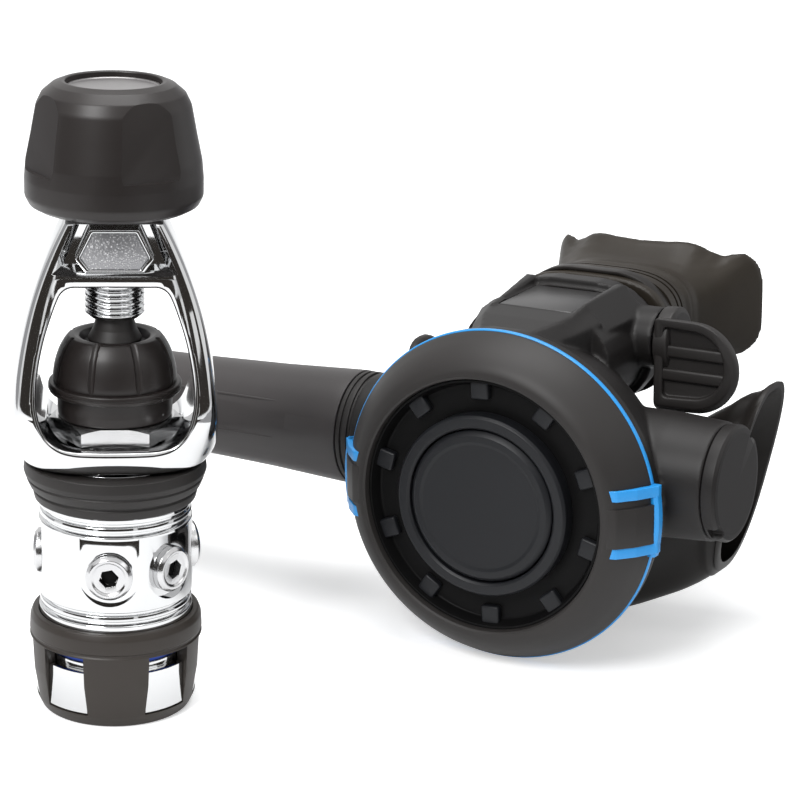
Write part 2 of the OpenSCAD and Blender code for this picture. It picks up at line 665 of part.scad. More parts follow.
module mouthpiece() color("#2b2d31") in_stage() difference() {
    union() {
        neck_solid(49, 35, 69.2, 85, mouth_u);
        neck_solid(44, 30, 83, 106, mouth_u);
        intersection() {
            neck_solid(flange_w, 37, 96, 124, mouth_u);
            translate([0, 149.5, 0]) linear_extrude(80) difference() {
                circle(r = 46, $fn = 128);
                circle(r = 43, $fn = 128);
            }
        }
        for (s = [-1, 1]) translate([s * 23.5 - 2, 111, mouth_u - 8.5]) cube([4, 2 + tab_len, 17]);
        for (s = [-1, 1]) translate([s * 23.5 - 3, 110.6 + tab_len, mouth_u - 8.5]) cube([6, 2.4, 17]);
    }
    neck_solid(46.2, 32.2, 68, 77.2, mouth_u);
    neck_solid(39, 25, 60, 112, mouth_u);
}

module mouth_clamp() color("#1b1c1e") in_stage() difference() {
    neck_solid(51.2, 37.2, 72, 76, mouth_u);
    neck_solid(49.1, 35.1, 66, 90, mouth_u);
}

module exhaust_flap() color("#3b3d42") in_stage() at_exhaust() {
    disc(11.2, 10.1, 10.9);
    disc(1.2, 5.5, 10.5);
    disc(1.9, 5.5, 7.5);
}

// one ring of the exhaust: low and high points in the front view, then its depth
function tee_ring(r0, u0, r1, u1, b0, b1, w) =
    [for (j = [0:27]) let (a = 360 * j / 28, c = cos(a), s = sin(a),
            kc = sign(c) * pow(abs(c), 0.8), ks = sign(s) * pow(abs(s), 0.8),
            v = unit([r1 - r0, 0, u1 - u0]), h = norm([r1 - r0, u1 - u0]) / 2 - w)
        [(r0 + r1) / 2, (b0 + b1) / 2, (u0 + u1) / 2] + h * kc * v + [0, ((b1 - b0) / 2 - w) * ks, 0]];

tee_rows = [[0, -46.2, 0, -16, 41, 72], [16, -45.4, 12, -12, 44, 74], [30, -41, 22, -2, 52, 80],
    [38, -37, 34, 10, 57, 84], [44, -32.4, 57.5, 24.5, 61, 86]];

function tee_side(s, w) = [for (q = s > 0 ? tee_rows : [for (i = [4:-1:1]) tee_rows[i]])
    tee_ring(s * q[0], q[1], s * q[2], q[3], q[4], q[5], w)];

module exhaust_tee() color("#1e1f22") in_stage() difference() {
    loft(concat(tee_side(-1, 0), tee_side(1, 0)));
    loft(concat([tee_ring(-48, -34, -62, 26.4, 62, 87, tee_wall)], tee_side(-1, tee_wall),
        tee_side(1, tee_wall), [tee_ring(48, -34, 62, 26.4, 62, 87, tee_wall)]));
    at_exhaust() translate([0, 0, -4]) cylinder(r = 12.55, h = 18);
    bowl_skin(0.2);
    about_r() disc(17.7, -60, 60);
}

guard();
chamber_cap();
blue_ring();
piston();
piston_seal();
stem_seal();
high_seat();
piston_spring();
first_body();
port_plugs();
high_plug();
plug_seals();
collar_ring();
yoke();
yoke_badge();
yoke_retainer();
inlet_filter();
filter_ring();
inlet_seal();
dust_cap();
yoke_screw();
screw_tip();
knob();
knob_disc();
port_fitting();
port_ferrule();
hose();
case_ferrule();
hose_sleeve();
swivel_nut();
purge_button();
purge_spring();
front_cover();
trim_ring();
diaphragm();
diaphragm_plate();
case();
inlet_ring();
valve_tube();
orifice();
poppet();
poppet_seat();
poppet_spring();
demand_lever();
lock_nut();
barrel_cap();
flow_lever();
lever_pin();
label_plate();
mouthpiece();
mouth_clamp();
exhaust_flap();
exhaust_tee();
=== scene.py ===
"""Dresses the scuba regulator set: first stage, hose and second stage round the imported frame.

Pieces are modelled in millimetres in the place of their own sub-assembly, then set into the
row frame in metres. The first stage stands at the origin; the second stage has a frame of its
own: R to its right-hand end, B from the cover to the mouthpiece, U up.
"""

import json
import logging
import math
from dataclasses import dataclass
from enum import Enum
from typing import Any, Sequence

import bmesh
import bpy
from mathutils import Matrix, Vector

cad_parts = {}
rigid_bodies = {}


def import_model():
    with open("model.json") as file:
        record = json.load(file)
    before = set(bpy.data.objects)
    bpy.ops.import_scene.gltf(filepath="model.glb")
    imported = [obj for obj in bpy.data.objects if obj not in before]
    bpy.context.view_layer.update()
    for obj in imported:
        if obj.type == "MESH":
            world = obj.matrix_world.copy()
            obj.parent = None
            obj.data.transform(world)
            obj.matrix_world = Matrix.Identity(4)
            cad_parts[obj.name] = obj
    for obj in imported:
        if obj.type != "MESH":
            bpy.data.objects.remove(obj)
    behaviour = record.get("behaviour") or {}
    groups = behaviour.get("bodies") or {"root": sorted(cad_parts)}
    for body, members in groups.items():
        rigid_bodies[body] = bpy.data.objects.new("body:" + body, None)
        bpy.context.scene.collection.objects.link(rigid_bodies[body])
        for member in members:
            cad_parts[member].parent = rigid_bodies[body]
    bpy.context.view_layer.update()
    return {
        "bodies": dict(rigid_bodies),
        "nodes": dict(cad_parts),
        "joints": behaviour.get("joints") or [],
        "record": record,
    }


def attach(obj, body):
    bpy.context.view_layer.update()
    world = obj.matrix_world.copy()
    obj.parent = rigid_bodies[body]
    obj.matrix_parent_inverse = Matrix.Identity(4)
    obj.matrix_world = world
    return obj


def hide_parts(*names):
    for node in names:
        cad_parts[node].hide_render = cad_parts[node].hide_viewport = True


log = logging.getLogger("regulator")

Point2 = tuple[float, float]
Point3 = tuple[float, float, float]

MM = Matrix.Scale(0.001, 4)
STAGE_AT = (99.0, 16.6, 47.4)
STAGE_TURN = -34.6
STAGE_ROLL = -2.3
FIRST = MM.copy()
PORT_Z = 42
PORT_FLAT = 18.7
PITCH = 1.6
BARREL_B = 35.0
BARREL_U = 5.75
LEVER_B = 60.0
LEVER_U = 37.0
MOUTH_U = 33.0


def spin(degrees: float, axis: str = "Z") -> Matrix:
    """Turn by degrees about one of the axes."""
    return Matrix.Rotation(math.radians(degrees), 4, axis)


SECOND = MM @ Matrix.Translation(STAGE_AT) @ spin(STAGE_TURN) @ spin(STAGE_ROLL, "Y")


def about_b() -> Matrix:
    """Place of a piece turned about the second stage's front-to-back axis."""
    return SECOND @ spin(-90, "X")


def about_r(b: float = BARREL_B, u: float = BARREL_U) -> Matrix:
    """Place of a piece turned about a line along R.

    Args:
        b: Distance of the line behind the cover's edge.
        u: Height of the line over the cover's middle.

    Returns:
        The matrix that puts a piece turned about Z there.
    """
    return SECOND @ Matrix.Translation((0, b, u)) @ spin(90, "Y")


def rod(radius: float, low: float, high: float) -> list[Point2]:
    """Profile of a plain rod or disc, from its foot to its top."""
    return [(0, low), (radius, low), (radius, high), (0, high)]


def ngon(radius: float, sides: int, start: float = 0.0) -> list[Point2]:
    """Corners of a regular outline, the first one at start degrees."""
    return [(radius * math.cos(t), radius * math.sin(t))
            for t in (math.radians(360 / sides * i + start) for i in range(sides))]


def boxy(value: float, power: float) -> float:
    """A sine or cosine raised to a power with its sign kept, for rings between oval and box."""
    return math.copysign(abs(value) ** power, value)


# ---- shader kit ----------------------------------------------------------------------------


class Wire:
    """A socket that takes part in arithmetic, adding Math nodes to its tree."""

    def __init__(self, tree: "Recipe", socket: Any) -> None:
        """Wraps an output socket of the recipe's tree."""
        self.tree = tree
        self.socket = socket

    def _math(self, operation: str, first: Any, second: Any, clamp: bool = False) -> "Wire":
        """Adds one Math node and returns its output."""
        return self.tree.add("ShaderNodeMath", {"operation": operation, "use_clamp": clamp},
                             {0: first, 1: second})

    def __add__(self, other: Any) -> "Wire":
        """Sum with a number or wire."""
        return self._math("ADD", self, other)

    def __mul__(self, other: Any) -> "Wire":
        """Product with a number or wire."""
        return self._math("MULTIPLY", self, other)

    def __sub__(self, other: Any) -> "Wire":
        """Difference with a number or wire."""
        return self._math("SUBTRACT", self, other)

    def __rsub__(self, other: Any) -> "Wire":
        """Difference of a number and this wire."""
        return self._math("SUBTRACT", other, self)

    def clamped(self) -> "Wire":
        """The value held between 0 and 1."""
        return self._math("ADD", self, 0.0, clamp=True)

    def over(self, edge: float, width: float) -> "Wire":
        """A soft step from 0 to 1 at edge, width wide."""
        return ((self - (edge - width / 2)) * (1 / width)).clamped()


class Recipe:
    """The node tree of one material."""

    def __init__(self, name: str) -> None:
        """Starts a material that holds only its output node."""
        self.material = bpy.data.materials.new(name)
        self.material.use_nodes = True
        self.nodes = self.material.node_tree.nodes
        self.links = self.material.node_tree.links
        self.nodes.clear()
        self.output = self.nodes.new("ShaderNodeOutputMaterial")

    def add(self, kind: str, settings: dict[str, Any], inputs: dict[Any, Any],
            out: Any = 0) -> Wire:
        """Adds a node.

        Args:
            kind: Node type.
            settings: Attributes set first, such as a Math node's operation.
            inputs: Values or wires by socket name or number.
            out: Output socket that the result stands for.

        Returns:
            The output as a wire.
        """
        node = self.nodes.new(kind)
        for key, value in settings.items():
            setattr(node, key, value)
        for key, value in inputs.items():
            socket = node.inputs[key]
            if isinstance(value, Wire):
                self.links.new(value.socket, socket)
            elif isinstance(value, (tuple, list)) and socket.type == "RGBA" and len(value) == 3:
                socket.default_value = (*value, 1.0)
            else:
                socket.default_value = value
        return Wire(self, node.outputs[out])

    def coords(self) -> Wire:
        """Object coordinates."""
        return self.add("ShaderNodeTexCoord", {}, {}, "Object")

    def noise(self, scale: float, detail: float = 2.0, rough: float = 0.5,
              stretch: Point3 | None = None) -> Wire:
        """Noise on Object coordinates, from 0 to 1, scale in cells a metre."""
        where = self.coords()
        if stretch is not None:
            where = self.add("ShaderNodeMapping", {}, {"Vector": where, "Scale": stretch})
        return self.add("ShaderNodeTexNoise", {}, {"Vector": where, "Scale": scale,
                        "Detail": detail, "Roughness": rough}, "Fac")

    def cells(self, size_mm: float) -> Wire:
        """Distance to the middle of the nearest cell of a cell pattern."""
        return self.add("ShaderNodeTexVoronoi", {"feature": "F1"},
                        {"Vector": self.coords(), "Scale": 1000.0 / size_mm}, "Distance")

    def mix(self, amount: Any, low: Any, high: Any) -> Wire:
        """Colour between low and high."""
        return self.add("ShaderNodeMix", {"data_type": "RGBA"}, {0: amount, 6: low, 7: high}, 2)

    def bump(self, height: Wire, depth_mm: float, strength: float = 1.0) -> Wire:
        """Normal from a height of 0 to 1 that stands for depth_mm."""
        return self.add("ShaderNodeBump", {}, {"Height": height, "Distance": depth_mm * 0.001,
                        "Strength": strength}, "Normal")

    def close(self, **sockets: Any) -> bpy.types.Material:
        """Ends the recipe in a Principled shader with the given sockets.

        Args:
            **sockets: Values or wires, with underscores for spaces in the sockets' names.

        Returns:
            The material.
        """
        shader = self.add("ShaderNodeBsdfPrincipled", {},
                          {key.replace("_", " "): value for key, value in sockets.items()})
        self.links.new(shader.socket, self.output.inputs["Surface"])
        return self.material


# ---- finishes ------------------------------------------------------------------------------


CLOUDS = 28.0
SMEARS = 70.0
LATHE_RINGS = 6000.0
COAT_ROUGH = 0.12


class Grain(Enum):
    """How a finish's surface is broken up."""

    SMOOTH = "smooth"
    MATT = "matt"
    PEBBLED = "pebbled"
    TURNED = "turned"
    SINTERED = "sintered"


@dataclass(frozen=True)
class Finish:
    """One finish: its colours, its gloss and its grain."""

    name: str
    slot: str
    colour: Point3
    shade: Point3
    rough: float
    spread: float = 0.06
    metal: float = 0.0
    coat: float = 0.0
    grain: Grain = Grain.MATT
    grain_mm: float = 0.4
    depth_mm: float = 0.02
    specular: float = 0.5

    def build(self) -> bpy.types.Material:
        """Returns the material, made once."""
        made = bpy.data.materials.get(self.name)
        if made is not None:
            return made
        tree = Recipe(self.name)
        cloud = tree.noise(CLOUDS, 3.0)
        colour = tree.mix(cloud.over(0.5, 0.5), self.shade, self.colour)
        rough = (cloud - 0.5) * (self.spread * 2) + self.rough
        fine = tree.noise(1000.0 / self.grain_mm, 2.0, 0.6)
        extra: dict[str, Any] = {}
        if self.grain is Grain.PEBBLED:
            pits = (tree.cells(self.grain_mm) * 1.2 + fine * 0.6).clamped()
            colour = tree.mix(pits.over(0.55, 0.5), self.colour, self.shade)
            extra["Normal"] = tree.bump(1.0 - pits, self.depth_mm)
        elif self.grain is Grain.SINTERED:
            grains = tree.cells(self.grain_mm)
            colour = tree.mix(grains.over(0.45, 0.4), self.colour, self.shade)
            extra["Normal"] = tree.bump(1.0 - grains, self.depth_mm)
        elif self.grain is Grain.TURNED:
            rings = tree.noise(LATHE_RINGS, 1.0, 0.4, (0.06, 0.06, 1.0))
            rough = rough + (rings - 0.5) * 0.12
            extra["Normal"] = tree.bump(rings, self.depth_mm, 0.4)
        elif self.grain is Grain.MATT:
            extra["Normal"] = tree.bump(fine, self.depth_mm, 0.6)
            colour = tree.mix(fine.over(0.55, 0.3) * 0.25, colour, self.shade)
        if self.grain is Grain.SMOOTH:
            smear = tree.noise(SMEARS, 4.0, 0.65, (1.0, 1.0, 0.35))
            rough = rough + smear.over(0.62, 0.3) * (self.spread * 0.8)
        return tree.close(Base_Color=colour, Roughness=rough.clamped(), Metallic=self.metal,
                          Coat_Weight=self.coat, Coat_Roughness=COAT_ROUGH,
                          Specular_IOR_Level=self.specular, **extra)


CHROME = Finish("polished_chrome", "chrome", (0.66, 0.665, 0.67), (0.61, 0.615, 0.62), 0.06, 0.03,
                1.0, grain=Grain.SMOOTH)
SATIN = Finish("satin_plate", "satin_metal", (0.64, 0.64, 0.64), (0.54, 0.54, 0.55), 0.2, 0.05,
               1.0, grain=Grain.TURNED, depth_mm=0.01)
RUBBER = Finish("moulded_rubber", "black_rubber", (0.021, 0.0185, 0.0175), (0.014, 0.0125, 0.012),
                0.50, 0.07, grain_mm=0.35, depth_mm=0.018, specular=0.34)
CASE_SKIN = Finish("case_rubber", "black_rubber", (0.013, 0.0115, 0.0112), (0.009, 0.0082, 0.008),
                   0.46, 0.06, grain_mm=0.35, depth_mm=0.018, specular=0.26)
SLEEVE_SKIN = Finish("sleeve_rubber", "black_rubber", (0.052, 0.047, 0.0465),
                     (0.040, 0.036, 0.036), 0.44, 0.06, grain_mm=0.4, depth_mm=0.015,
                     specular=0.36)
KNOB_SKIN = Finish("soft_touch_rubber", "black_rubber", (0.017, 0.0135, 0.0125),
                   (0.012, 0.0095, 0.009), 0.38, 0.05, grain_mm=0.3, depth_mm=0.01,
                   specular=0.36)
GUARD_SKIN = Finish("guard_rubber", "black_rubber", (0.034, 0.028, 0.023), (0.025, 0.020, 0.017),
                    0.44, 0.06, grain_mm=0.35, depth_mm=0.012, specular=0.36)
HOSE_SKIN = Finish("hose_rubber_skin", "hose_rubber", (0.017, 0.016, 0.016), (0.012, 0.011, 0.011),
                   0.42, 0.06, grain_mm=0.5, depth_mm=0.02, specular=0.36)
PLASTIC = Finish("moulded_plastic", "black_plastic", (0.017, 0.0145, 0.013),
                 (0.012, 0.0105, 0.0095), 0.42, 0.05, grain_mm=0.3, depth_mm=0.012, specular=0.26)
# Near-black that lines the cover's recess and the plugs' sockets: painted shade.
PAINTED_SHADE = Finish("painted_shade_black", "gloss_plastic", (0.005, 0.0048, 0.005), (0.003, 0.003, 0.003),
               0.45, 0.04, grain=Grain.SMOOTH, specular=0.08)
BUTTON_SKIN = Finish("button_rubber", "black_rubber", (0.0095, 0.010, 0.012),
                     (0.0075, 0.008, 0.0095), 0.42, 0.05, grain_mm=0.45, depth_mm=0.02,
                     specular=0.26)
BLUE_TRIM = Finish("blue_moulding", "blue_plastic", (0.016, 0.285, 0.690), (0.013, 0.240, 0.610),
                   0.36, 0.05, grain_mm=0.3, depth_mm=0.006)
BLUE_METAL = Finish("blue_anodised", "blue_metal", (0.020, 0.055, 0.300), (0.012, 0.035, 0.210),
                    0.32, 0.06, 0.7, grain=Grain.TURNED, depth_mm=0.01)
SILICONE = Finish("soft_silicone", "silicone", (0.024, 0.0190, 0.0135), (0.016, 0.0128, 0.0095),
                  0.42, 0.06, grain=Grain.SMOOTH, specular=0.24)
SEAL = Finish("seal_rubber", "seal", (0.030, 0.029, 0.029), (0.020, 0.020, 0.020), 0.45, 0.05)
BADGE = Finish("pebbled_plate", "badge", (0.80, 0.80, 0.81), (0.30, 0.30, 0.31), 0.34, 0.06,
               0.5, grain=Grain.PEBBLED, grain_mm=0.55, depth_mm=0.14)
LABEL = Finish("label_plastic", "badge", (0.030, 0.029, 0.029), (0.023, 0.022, 0.022), 0.34,
               0.05, grain_mm=0.3, depth_mm=0.01)
DISC = Finish("knob_disc_metal", "badge", (0.30, 0.29, 0.29), (0.22, 0.21, 0.21), 0.34, 0.06,
              0.8, grain=Grain.TURNED, depth_mm=0.012)
BRASS = Finish("turned_brass", "brass", (0.72, 0.56, 0.30), (0.62, 0.47, 0.24), 0.24, 0.06,
               1.0, grain=Grain.TURNED, depth_mm=0.012)
BRONZE = Finish("sintered_bronze", "bronze", (0.50, 0.33, 0.17), (0.20, 0.12, 0.06), 0.5, 0.08,
                0.9, grain=Grain.SINTERED, grain_mm=0.5, depth_mm=0.15)
PALE = Finish("pale_polymer", "seat_plastic", (0.80, 0.78, 0.71), (0.72, 0.70, 0.63), 0.45,
              0.06, grain_mm=0.4, depth_mm=0.01)
WIRE = Finish("spring_wire", "spring_steel", (0.60, 0.61, 0.63), (0.48, 0.49, 0.51), 0.25,
              0.06, 1.0, grain=Grain.TURNED, depth_mm=0.008)


# ---- modelling by hand ---------------------------------------------------------------------


class Bench:
    """The hand tools that the pieces are modelled with."""

    @classmethod
    def take(cls, obj: bpy.types.Object) -> None:
        """Selects obj alone and makes it active, out of edit mode."""
        cls.fresh()
        obj.select_set(True)
        bpy.context.view_layer.objects.active = obj

    @classmethod
    def edit(cls, obj: bpy.types.Object, picked: bool = True) -> None:
        """Opens obj in edit mode with all of it selected, or none."""
        cls.take(obj)
        bpy.ops.object.mode_set(mode="EDIT")
        bpy.ops.mesh.select_mode(type="VERT")
        bpy.ops.mesh.select_all(action="SELECT" if picked else "DESELECT")

    @classmethod
    def fresh(cls) -> None:
        """Leaves nothing selected, ready for a new primitive."""
        if bpy.context.object is not None and bpy.context.object.mode != "OBJECT":
            bpy.ops.object.mode_set(mode="OBJECT")
        bpy.ops.object.select_all(action="DESELECT")

    @classmethod
    def chain(cls, name: str, points: Sequence[Point3], closed: bool) -> bpy.types.Object:
        """Draws a line of edges by extruding one point.

        Args:
            name: Name of the new object.
            points: Places that the line passes, in order.
            closed: Whether the last point joins the first.

        Returns:
            The object, left in edit mode with all of it selected.
        """
        cls.fresh()
        bpy.ops.mesh.primitive_plane_add(size=1.0)
        obj = bpy.context.object
        obj.name = name
        cls.edit(obj)
        bpy.ops.mesh.merge(type="CENTER")
        here = Vector(points[0])
        bpy.ops.transform.translate(value=here)
        for point in points[1:]:
            step = Vector(point) - here
            bpy.ops.mesh.extrude_region_move(TRANSFORM_OT_translate={"value": step})
            here = Vector(point)
        bpy.ops.mesh.select_all(action="SELECT")
        if closed:
            mesh = bmesh.from_edit_mesh(obj.data)
            ends = [v for v in mesh.verts if len(v.link_edges) == 1]
            bpy.ops.mesh.select_all(action="DESELECT")
            for vert in ends:
                vert.select = True
            bmesh.update_edit_mesh(obj.data)
            bpy.ops.mesh.edge_face_add()
            bpy.ops.mesh.select_all(action="SELECT")
        return obj

    @classmethod
    def turned(cls, name: str, profile: Sequence[Sequence[float]], steps: int = 144
               ) -> bpy.types.Object:
        """Turns a profile about Z: a closed loop, or a line that starts and ends on the axis.

        Args:
            name: Name of the piece.
            profile: Corners as (radius, height), or as (radius, height, rounding).
            steps: Facets round the piece.

        Returns:
            The turned object, in millimetres, out of edit mode.
        """
        line = soft_corners(profile) if len(profile[0]) == 3 else profile
        obj = cls.chain(name, [(r, 0.0, z) for r, z in line], profile[0][0] > 0)
        bpy.ops.mesh.spin(steps=steps, angle=math.tau, center=(0, 0, 0), axis=(0, 0, 1),
                          use_auto_merge=True)
        cls.tidy(obj)
        return obj

    @classmethod
    def tidy(cls, obj: bpy.types.Object, near: float = 0.0005) -> None:
        """Merges doubled points and turns all faces outwards."""
        cls.edit(obj)
        bpy.ops.mesh.remove_doubles(threshold=near)
        bpy.ops.mesh.normals_make_consistent(inside=False)
        bpy.ops.object.mode_set(mode="OBJECT")

    @classmethod
    def prism(cls, name: str, outline: Sequence[Point2], low: float, high: float
              ) -> bpy.types.Object:
        """Extrudes a closed outline in X and Y from height low to high."""
        obj = cls.chain(name, [(x, y, low) for x, y in outline], True)
        bpy.ops.mesh.edge_face_add()
        bpy.ops.mesh.extrude_region_move(TRANSFORM_OT_translate={"value": (0, 0, high - low)})
        cls.tidy(obj)
        return obj

    @classmethod
    def block(cls, name: str, low: Point3, high: Point3, bevel: float = 0.0,
              segments: int = 3) -> bpy.types.Object:
        """A box between two corners, its edges rounded by bevel."""
        cls.fresh()
        middle = [(a + b) / 2 for a, b in zip(low, high)]
        bpy.ops.mesh.primitive_cube_add(size=1.0, location=middle)
        obj = bpy.context.object
        obj.name = name
        obj.scale = [b - a for a, b in zip(low, high)]
        bpy.ops.object.transform_apply(location=True, rotation=True, scale=True)
        if bevel > 0:
            cls.edit(obj)
            bpy.ops.mesh.bevel(offset=bevel, segments=segments, affect="EDGES")
            bpy.ops.object.mode_set(mode="OBJECT")
        return obj

    @classmethod
    def lofted(cls, name: str, rings: Sequence[Sequence[Point3]], capped: bool = True
               ) -> bpy.types.Object:
        """Extrudes one ring of edges through all the others.

        Args:
            name: Name of the piece.
            rings: Rings of points in order, all with the same number.
            capped: Whether both ends are filled.

        Returns:
            The skinned object, out of edit mode.
        """
        obj = cls.chain(name, rings[0], True)
        if capped:
            bpy.ops.mesh.edge_face_add()
            bpy.ops.mesh.select_all(action="DESELECT")
        mesh = bmesh.from_edit_mesh(obj.data)
        mesh.verts.ensure_lookup_table()
        row = [min(mesh.verts, key=lambda v, p=Vector(place): (v.co - p).length_squared).index
               for place in rings[0]]
        for ring in rings[1:]:
            mesh = bmesh.from_edit_mesh(obj.data)
            mesh.verts.ensure_lookup_table()
            for elem in (*mesh.verts, *mesh.edges, *mesh.faces):
                elem.select = False
            picked = set(row)
            for edge in mesh.edges:
                ends = {edge.verts[0].index, edge.verts[1].index}
                if ends <= picked and abs(row.index(edge.verts[0].index)
                                          - row.index(edge.verts[1].index)) in (1, len(row) - 1):
                    edge.select = True
            bmesh.update_edit_mesh(obj.data)
            bpy.ops.mesh.select_mode(type="EDGE")
            bpy.ops.mesh.extrude_edges_move()
            mesh = bmesh.from_edit_mesh(obj.data)
            mesh.verts.ensure_lookup_table()
            fresh_row = []
            for index, point in zip(row, ring):
                vert = next(e.other_vert(mesh.verts[index]) for e in mesh.verts[index].link_edges
                            if e.other_vert(mesh.verts[index]).select)
                vert.co = point
                fresh_row.append(vert)
            mesh.verts.index_update()
            row = [v.index for v in fresh_row]
            bmesh.update_edit_mesh(obj.data)
        if capped:
            bpy.ops.mesh.edge_face_add()
        cls.tidy(obj)
        return obj

    @classmethod
    def apply(cls, obj: bpy.types.Object, kind: str, **settings: Any) -> None:
        """Adds a modifier with the given settings and applies it."""
        cls.take(obj)
        modifier = obj.modifiers.new(kind.lower(), kind)
        for key, value in settings.items():
            setattr(modifier, key, value)
        bpy.ops.object.modifier_apply(modifier=modifier.name)

    @classmethod
    def carve(cls, obj: bpy.types.Object, *tools: bpy.types.Object, how: str = "DIFFERENCE"
              ) -> None:
        """Cuts, joins or trims obj with each tool, which is used up."""
        for tool in tools:
            cls.apply(obj, "BOOLEAN", operation=how, solver="EXACT", object=tool)
            bpy.data.objects.remove(tool, do_unlink=True)

    @classmethod
    def copy(cls, obj: bpy.types.Object, name: str) -> bpy.types.Object:
        """A copy with its own mesh."""
        twin = obj.copy()
        twin.data = obj.data.copy()
        twin.name = name
        bpy.context.scene.collection.objects.link(twin)
        return twin

    @classmethod
    def move(cls, obj: bpy.types.Object, place: Matrix) -> bpy.types.Object:
        """Sets obj at a place and bakes that place into its mesh."""
        cls.take(obj)
        obj.matrix_world = place @ obj.matrix_world
        bpy.ops.object.transform_apply(location=True, rotation=True, scale=True)
        return obj

    @classmethod
    def join(cls, name: str, *parts: bpy.types.Object) -> bpy.types.Object:
        """Joins parts that stay separate shells of one piece."""
        cls.take(parts[0])
        for part in parts[1:]:
            part.select_set(True)
        if len(parts) > 1:
            bpy.ops.object.join()
        parts[0].name = name
        return parts[0]

    @classmethod
    def round_edges(cls, obj: bpy.types.Object, width: float, segments: int = 3,
                    angle: float = 35.0) -> None:
        """Rounds every edge sharper than angle."""
        cls.apply(obj, "BEVEL", width=width, segments=segments, limit_method="ANGLE",
                  angle_limit=math.radians(angle), miter_outer="MITER_ARC", harden_normals=False)

    @classmethod
    def melt(cls, obj: bpy.types.Object, voxel: float, passes: int, keep: float = 1.0) -> None:
        """Fuses a joined form into one skin with soft fillets.

        Args:
            obj: The piece, in millimetres.
            voxel: Size of the remesh's cells.
            passes: Rounds of smoothing.
            keep: Share of the faces kept at the end.
        """
        cls.apply(obj, "REMESH", mode="VOXEL", voxel_size=voxel, adaptivity=0.0)
        cls.apply(obj, "SMOOTH", factor=0.5, iterations=passes)
        if keep < 1.0:
            cls.apply(obj, "DECIMATE", ratio=keep)

    @classmethod
    def smooth(cls, obj: bpy.types.Object, angle: float = 32.0) -> None:
        """Shades obj smooth where its faces meet at less than angle."""
        cls.take(obj)
        bpy.ops.object.shade_smooth_by_angle(angle=math.radians(angle))


@dataclass
class Shop:
    """Finishes pieces, puts them on their bodies and reports them."""

    frame: dict[str, Any]
    count: int = 0

    def place(self, obj: bpy.types.Object, finish: Finish, body: str, where: Matrix,
              nodes: Sequence[str] = (), angle: float = 32.0) -> bpy.types.Object:
        """Sets a finished piece into the row frame.

        Args:
            obj: The piece in millimetres.
            finish: Its finish.
            body: CAD body that it rides on.
            where: Place of its own frame.
            nodes: CAD nodes that it stands for.
            angle: Edges sharper than this stay sharp.

        Returns:
            The piece.
        """
        Bench.move(obj, where)
        Bench.smooth(obj, angle)
        obj.data.materials.clear()
        obj.data.materials.append(finish.build())
        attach(obj, body)
        if nodes:
            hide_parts(*nodes)
        self.count += 1
        log.info("%s rides on %s as %s", obj.name, body, finish.name)
        return obj

    def dress(self, node: str, finish: Finish) -> None:
        """Gives a CAD node its finish and leaves its shape."""
        obj = self.frame["nodes"][node]
        obj.data.materials.clear()
        obj.data.materials.append(finish.build())
        log.info("%s keeps its shape as %s", node, finish.name)

    def refine(self, node: str, finish: Finish, body: str, bevel: float, angle: float = 30.0,
               smooth: float = 32.0) -> bpy.types.Object:
        """Stands a welded, rounded copy of a CAD node in its place.

        Args:
            node: The CAD node.
            finish: Its finish.
            body: CAD body that it rides on.
            bevel: Width of the rounded edges, in millimetres, or 0 for none.
            angle: Edges sharper than this are rounded.
            smooth: Edges sharper than this stay sharp in the shading.

        Returns:
            The copy.
        """
        obj = Bench.copy(self.frame["nodes"][node], f"{node}_skin")
        obj.parent = None
        for key in [k for k in obj.keys() if k.startswith("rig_")]:
            del obj[key]
        Bench.move(obj, Matrix.Scale(1000, 4))
        Bench.tidy(obj, 0.002)
        Bench.edit(obj)
        bpy.ops.mesh.dissolve_limited(angle_limit=math.radians(0.6))
        bpy.ops.object.mode_set(mode="OBJECT")
        if bevel > 0:
            Bench.round_edges(obj, bevel, 2, angle)
        return self.place(obj, finish, body, FIRST, [node], smooth)


CORNER_SHARE = 0.48


def soft_corners(corners: Sequence[Point3], arc: int = 4) -> list[Point2]:
    """Rounds the corners of a closed outline.

    Args:
        corners: Corners as (x, y, radius), where 0 keeps the corner sharp.
        arc: Steps in each rounded corner.

    Returns:
        The outline's points.
    """
    out: list[Point2] = []
    for index, (x, y, radius) in enumerate(corners):
        here = Vector((x, y))
        back = Vector(corners[index - 1][:2]) - here
        ahead = Vector(corners[(index + 1) % len(corners)][:2]) - here
        if radius <= 0 or back.length == 0 or ahead.length == 0:
            out.append((x, y))
            continue
        reach = min(radius / math.tan(back.angle(ahead) / 2), back.length * CORNER_SHARE,
                    ahead.length * CORNER_SHARE)
        start, end = here + back.normalized() * reach, here + ahead.normalized() * reach
        for step in range(arc + 1):
            t = step / arc
            point = start * (1 - t) ** 2 + here * 2 * t * (1 - t) + end * t * t
            out.append((point.x, point.y))
    return out


def oval(width: float, height: float, around: int = 12) -> list[Point2]:
    """A long hole's outline, width by height, with round ends."""
    radius, half = height / 2, (width - height) / 2
    return [(side * half + radius * math.cos(turn), radius * math.sin(turn))
            for side, first in ((1, -90), (-1, 90))
            for turn in (math.radians(first + 180 * i / around) for i in range(around + 1))]


def flowing(marks: Sequence[Point2], at: float) -> float:
    """Height at a place of the smooth curve through marks given as (place, height)."""
    last = len(marks) - 1
    low = next((i for i in range(last) if at <= marks[i + 1][0]), last - 1)
    (x0, y0), (x1, y1) = marks[low], marks[low + 1]
    before, after = marks[max(low - 1, 0)], marks[min(low + 2, last)]
    span = x1 - x0
    t = min(1.0, max(0.0, (at - x0) / span))
    start = (y1 - before[1]) / (x1 - before[0]) * span
    end = (after[1] - y0) / (after[0] - x0) * span
    return (y0 * (1 + 2 * t) * (1 - t) ** 2 + start * t * (1 - t) ** 2
            + y1 * t * t * (3 - 2 * t) - end * t * t * (1 - t))


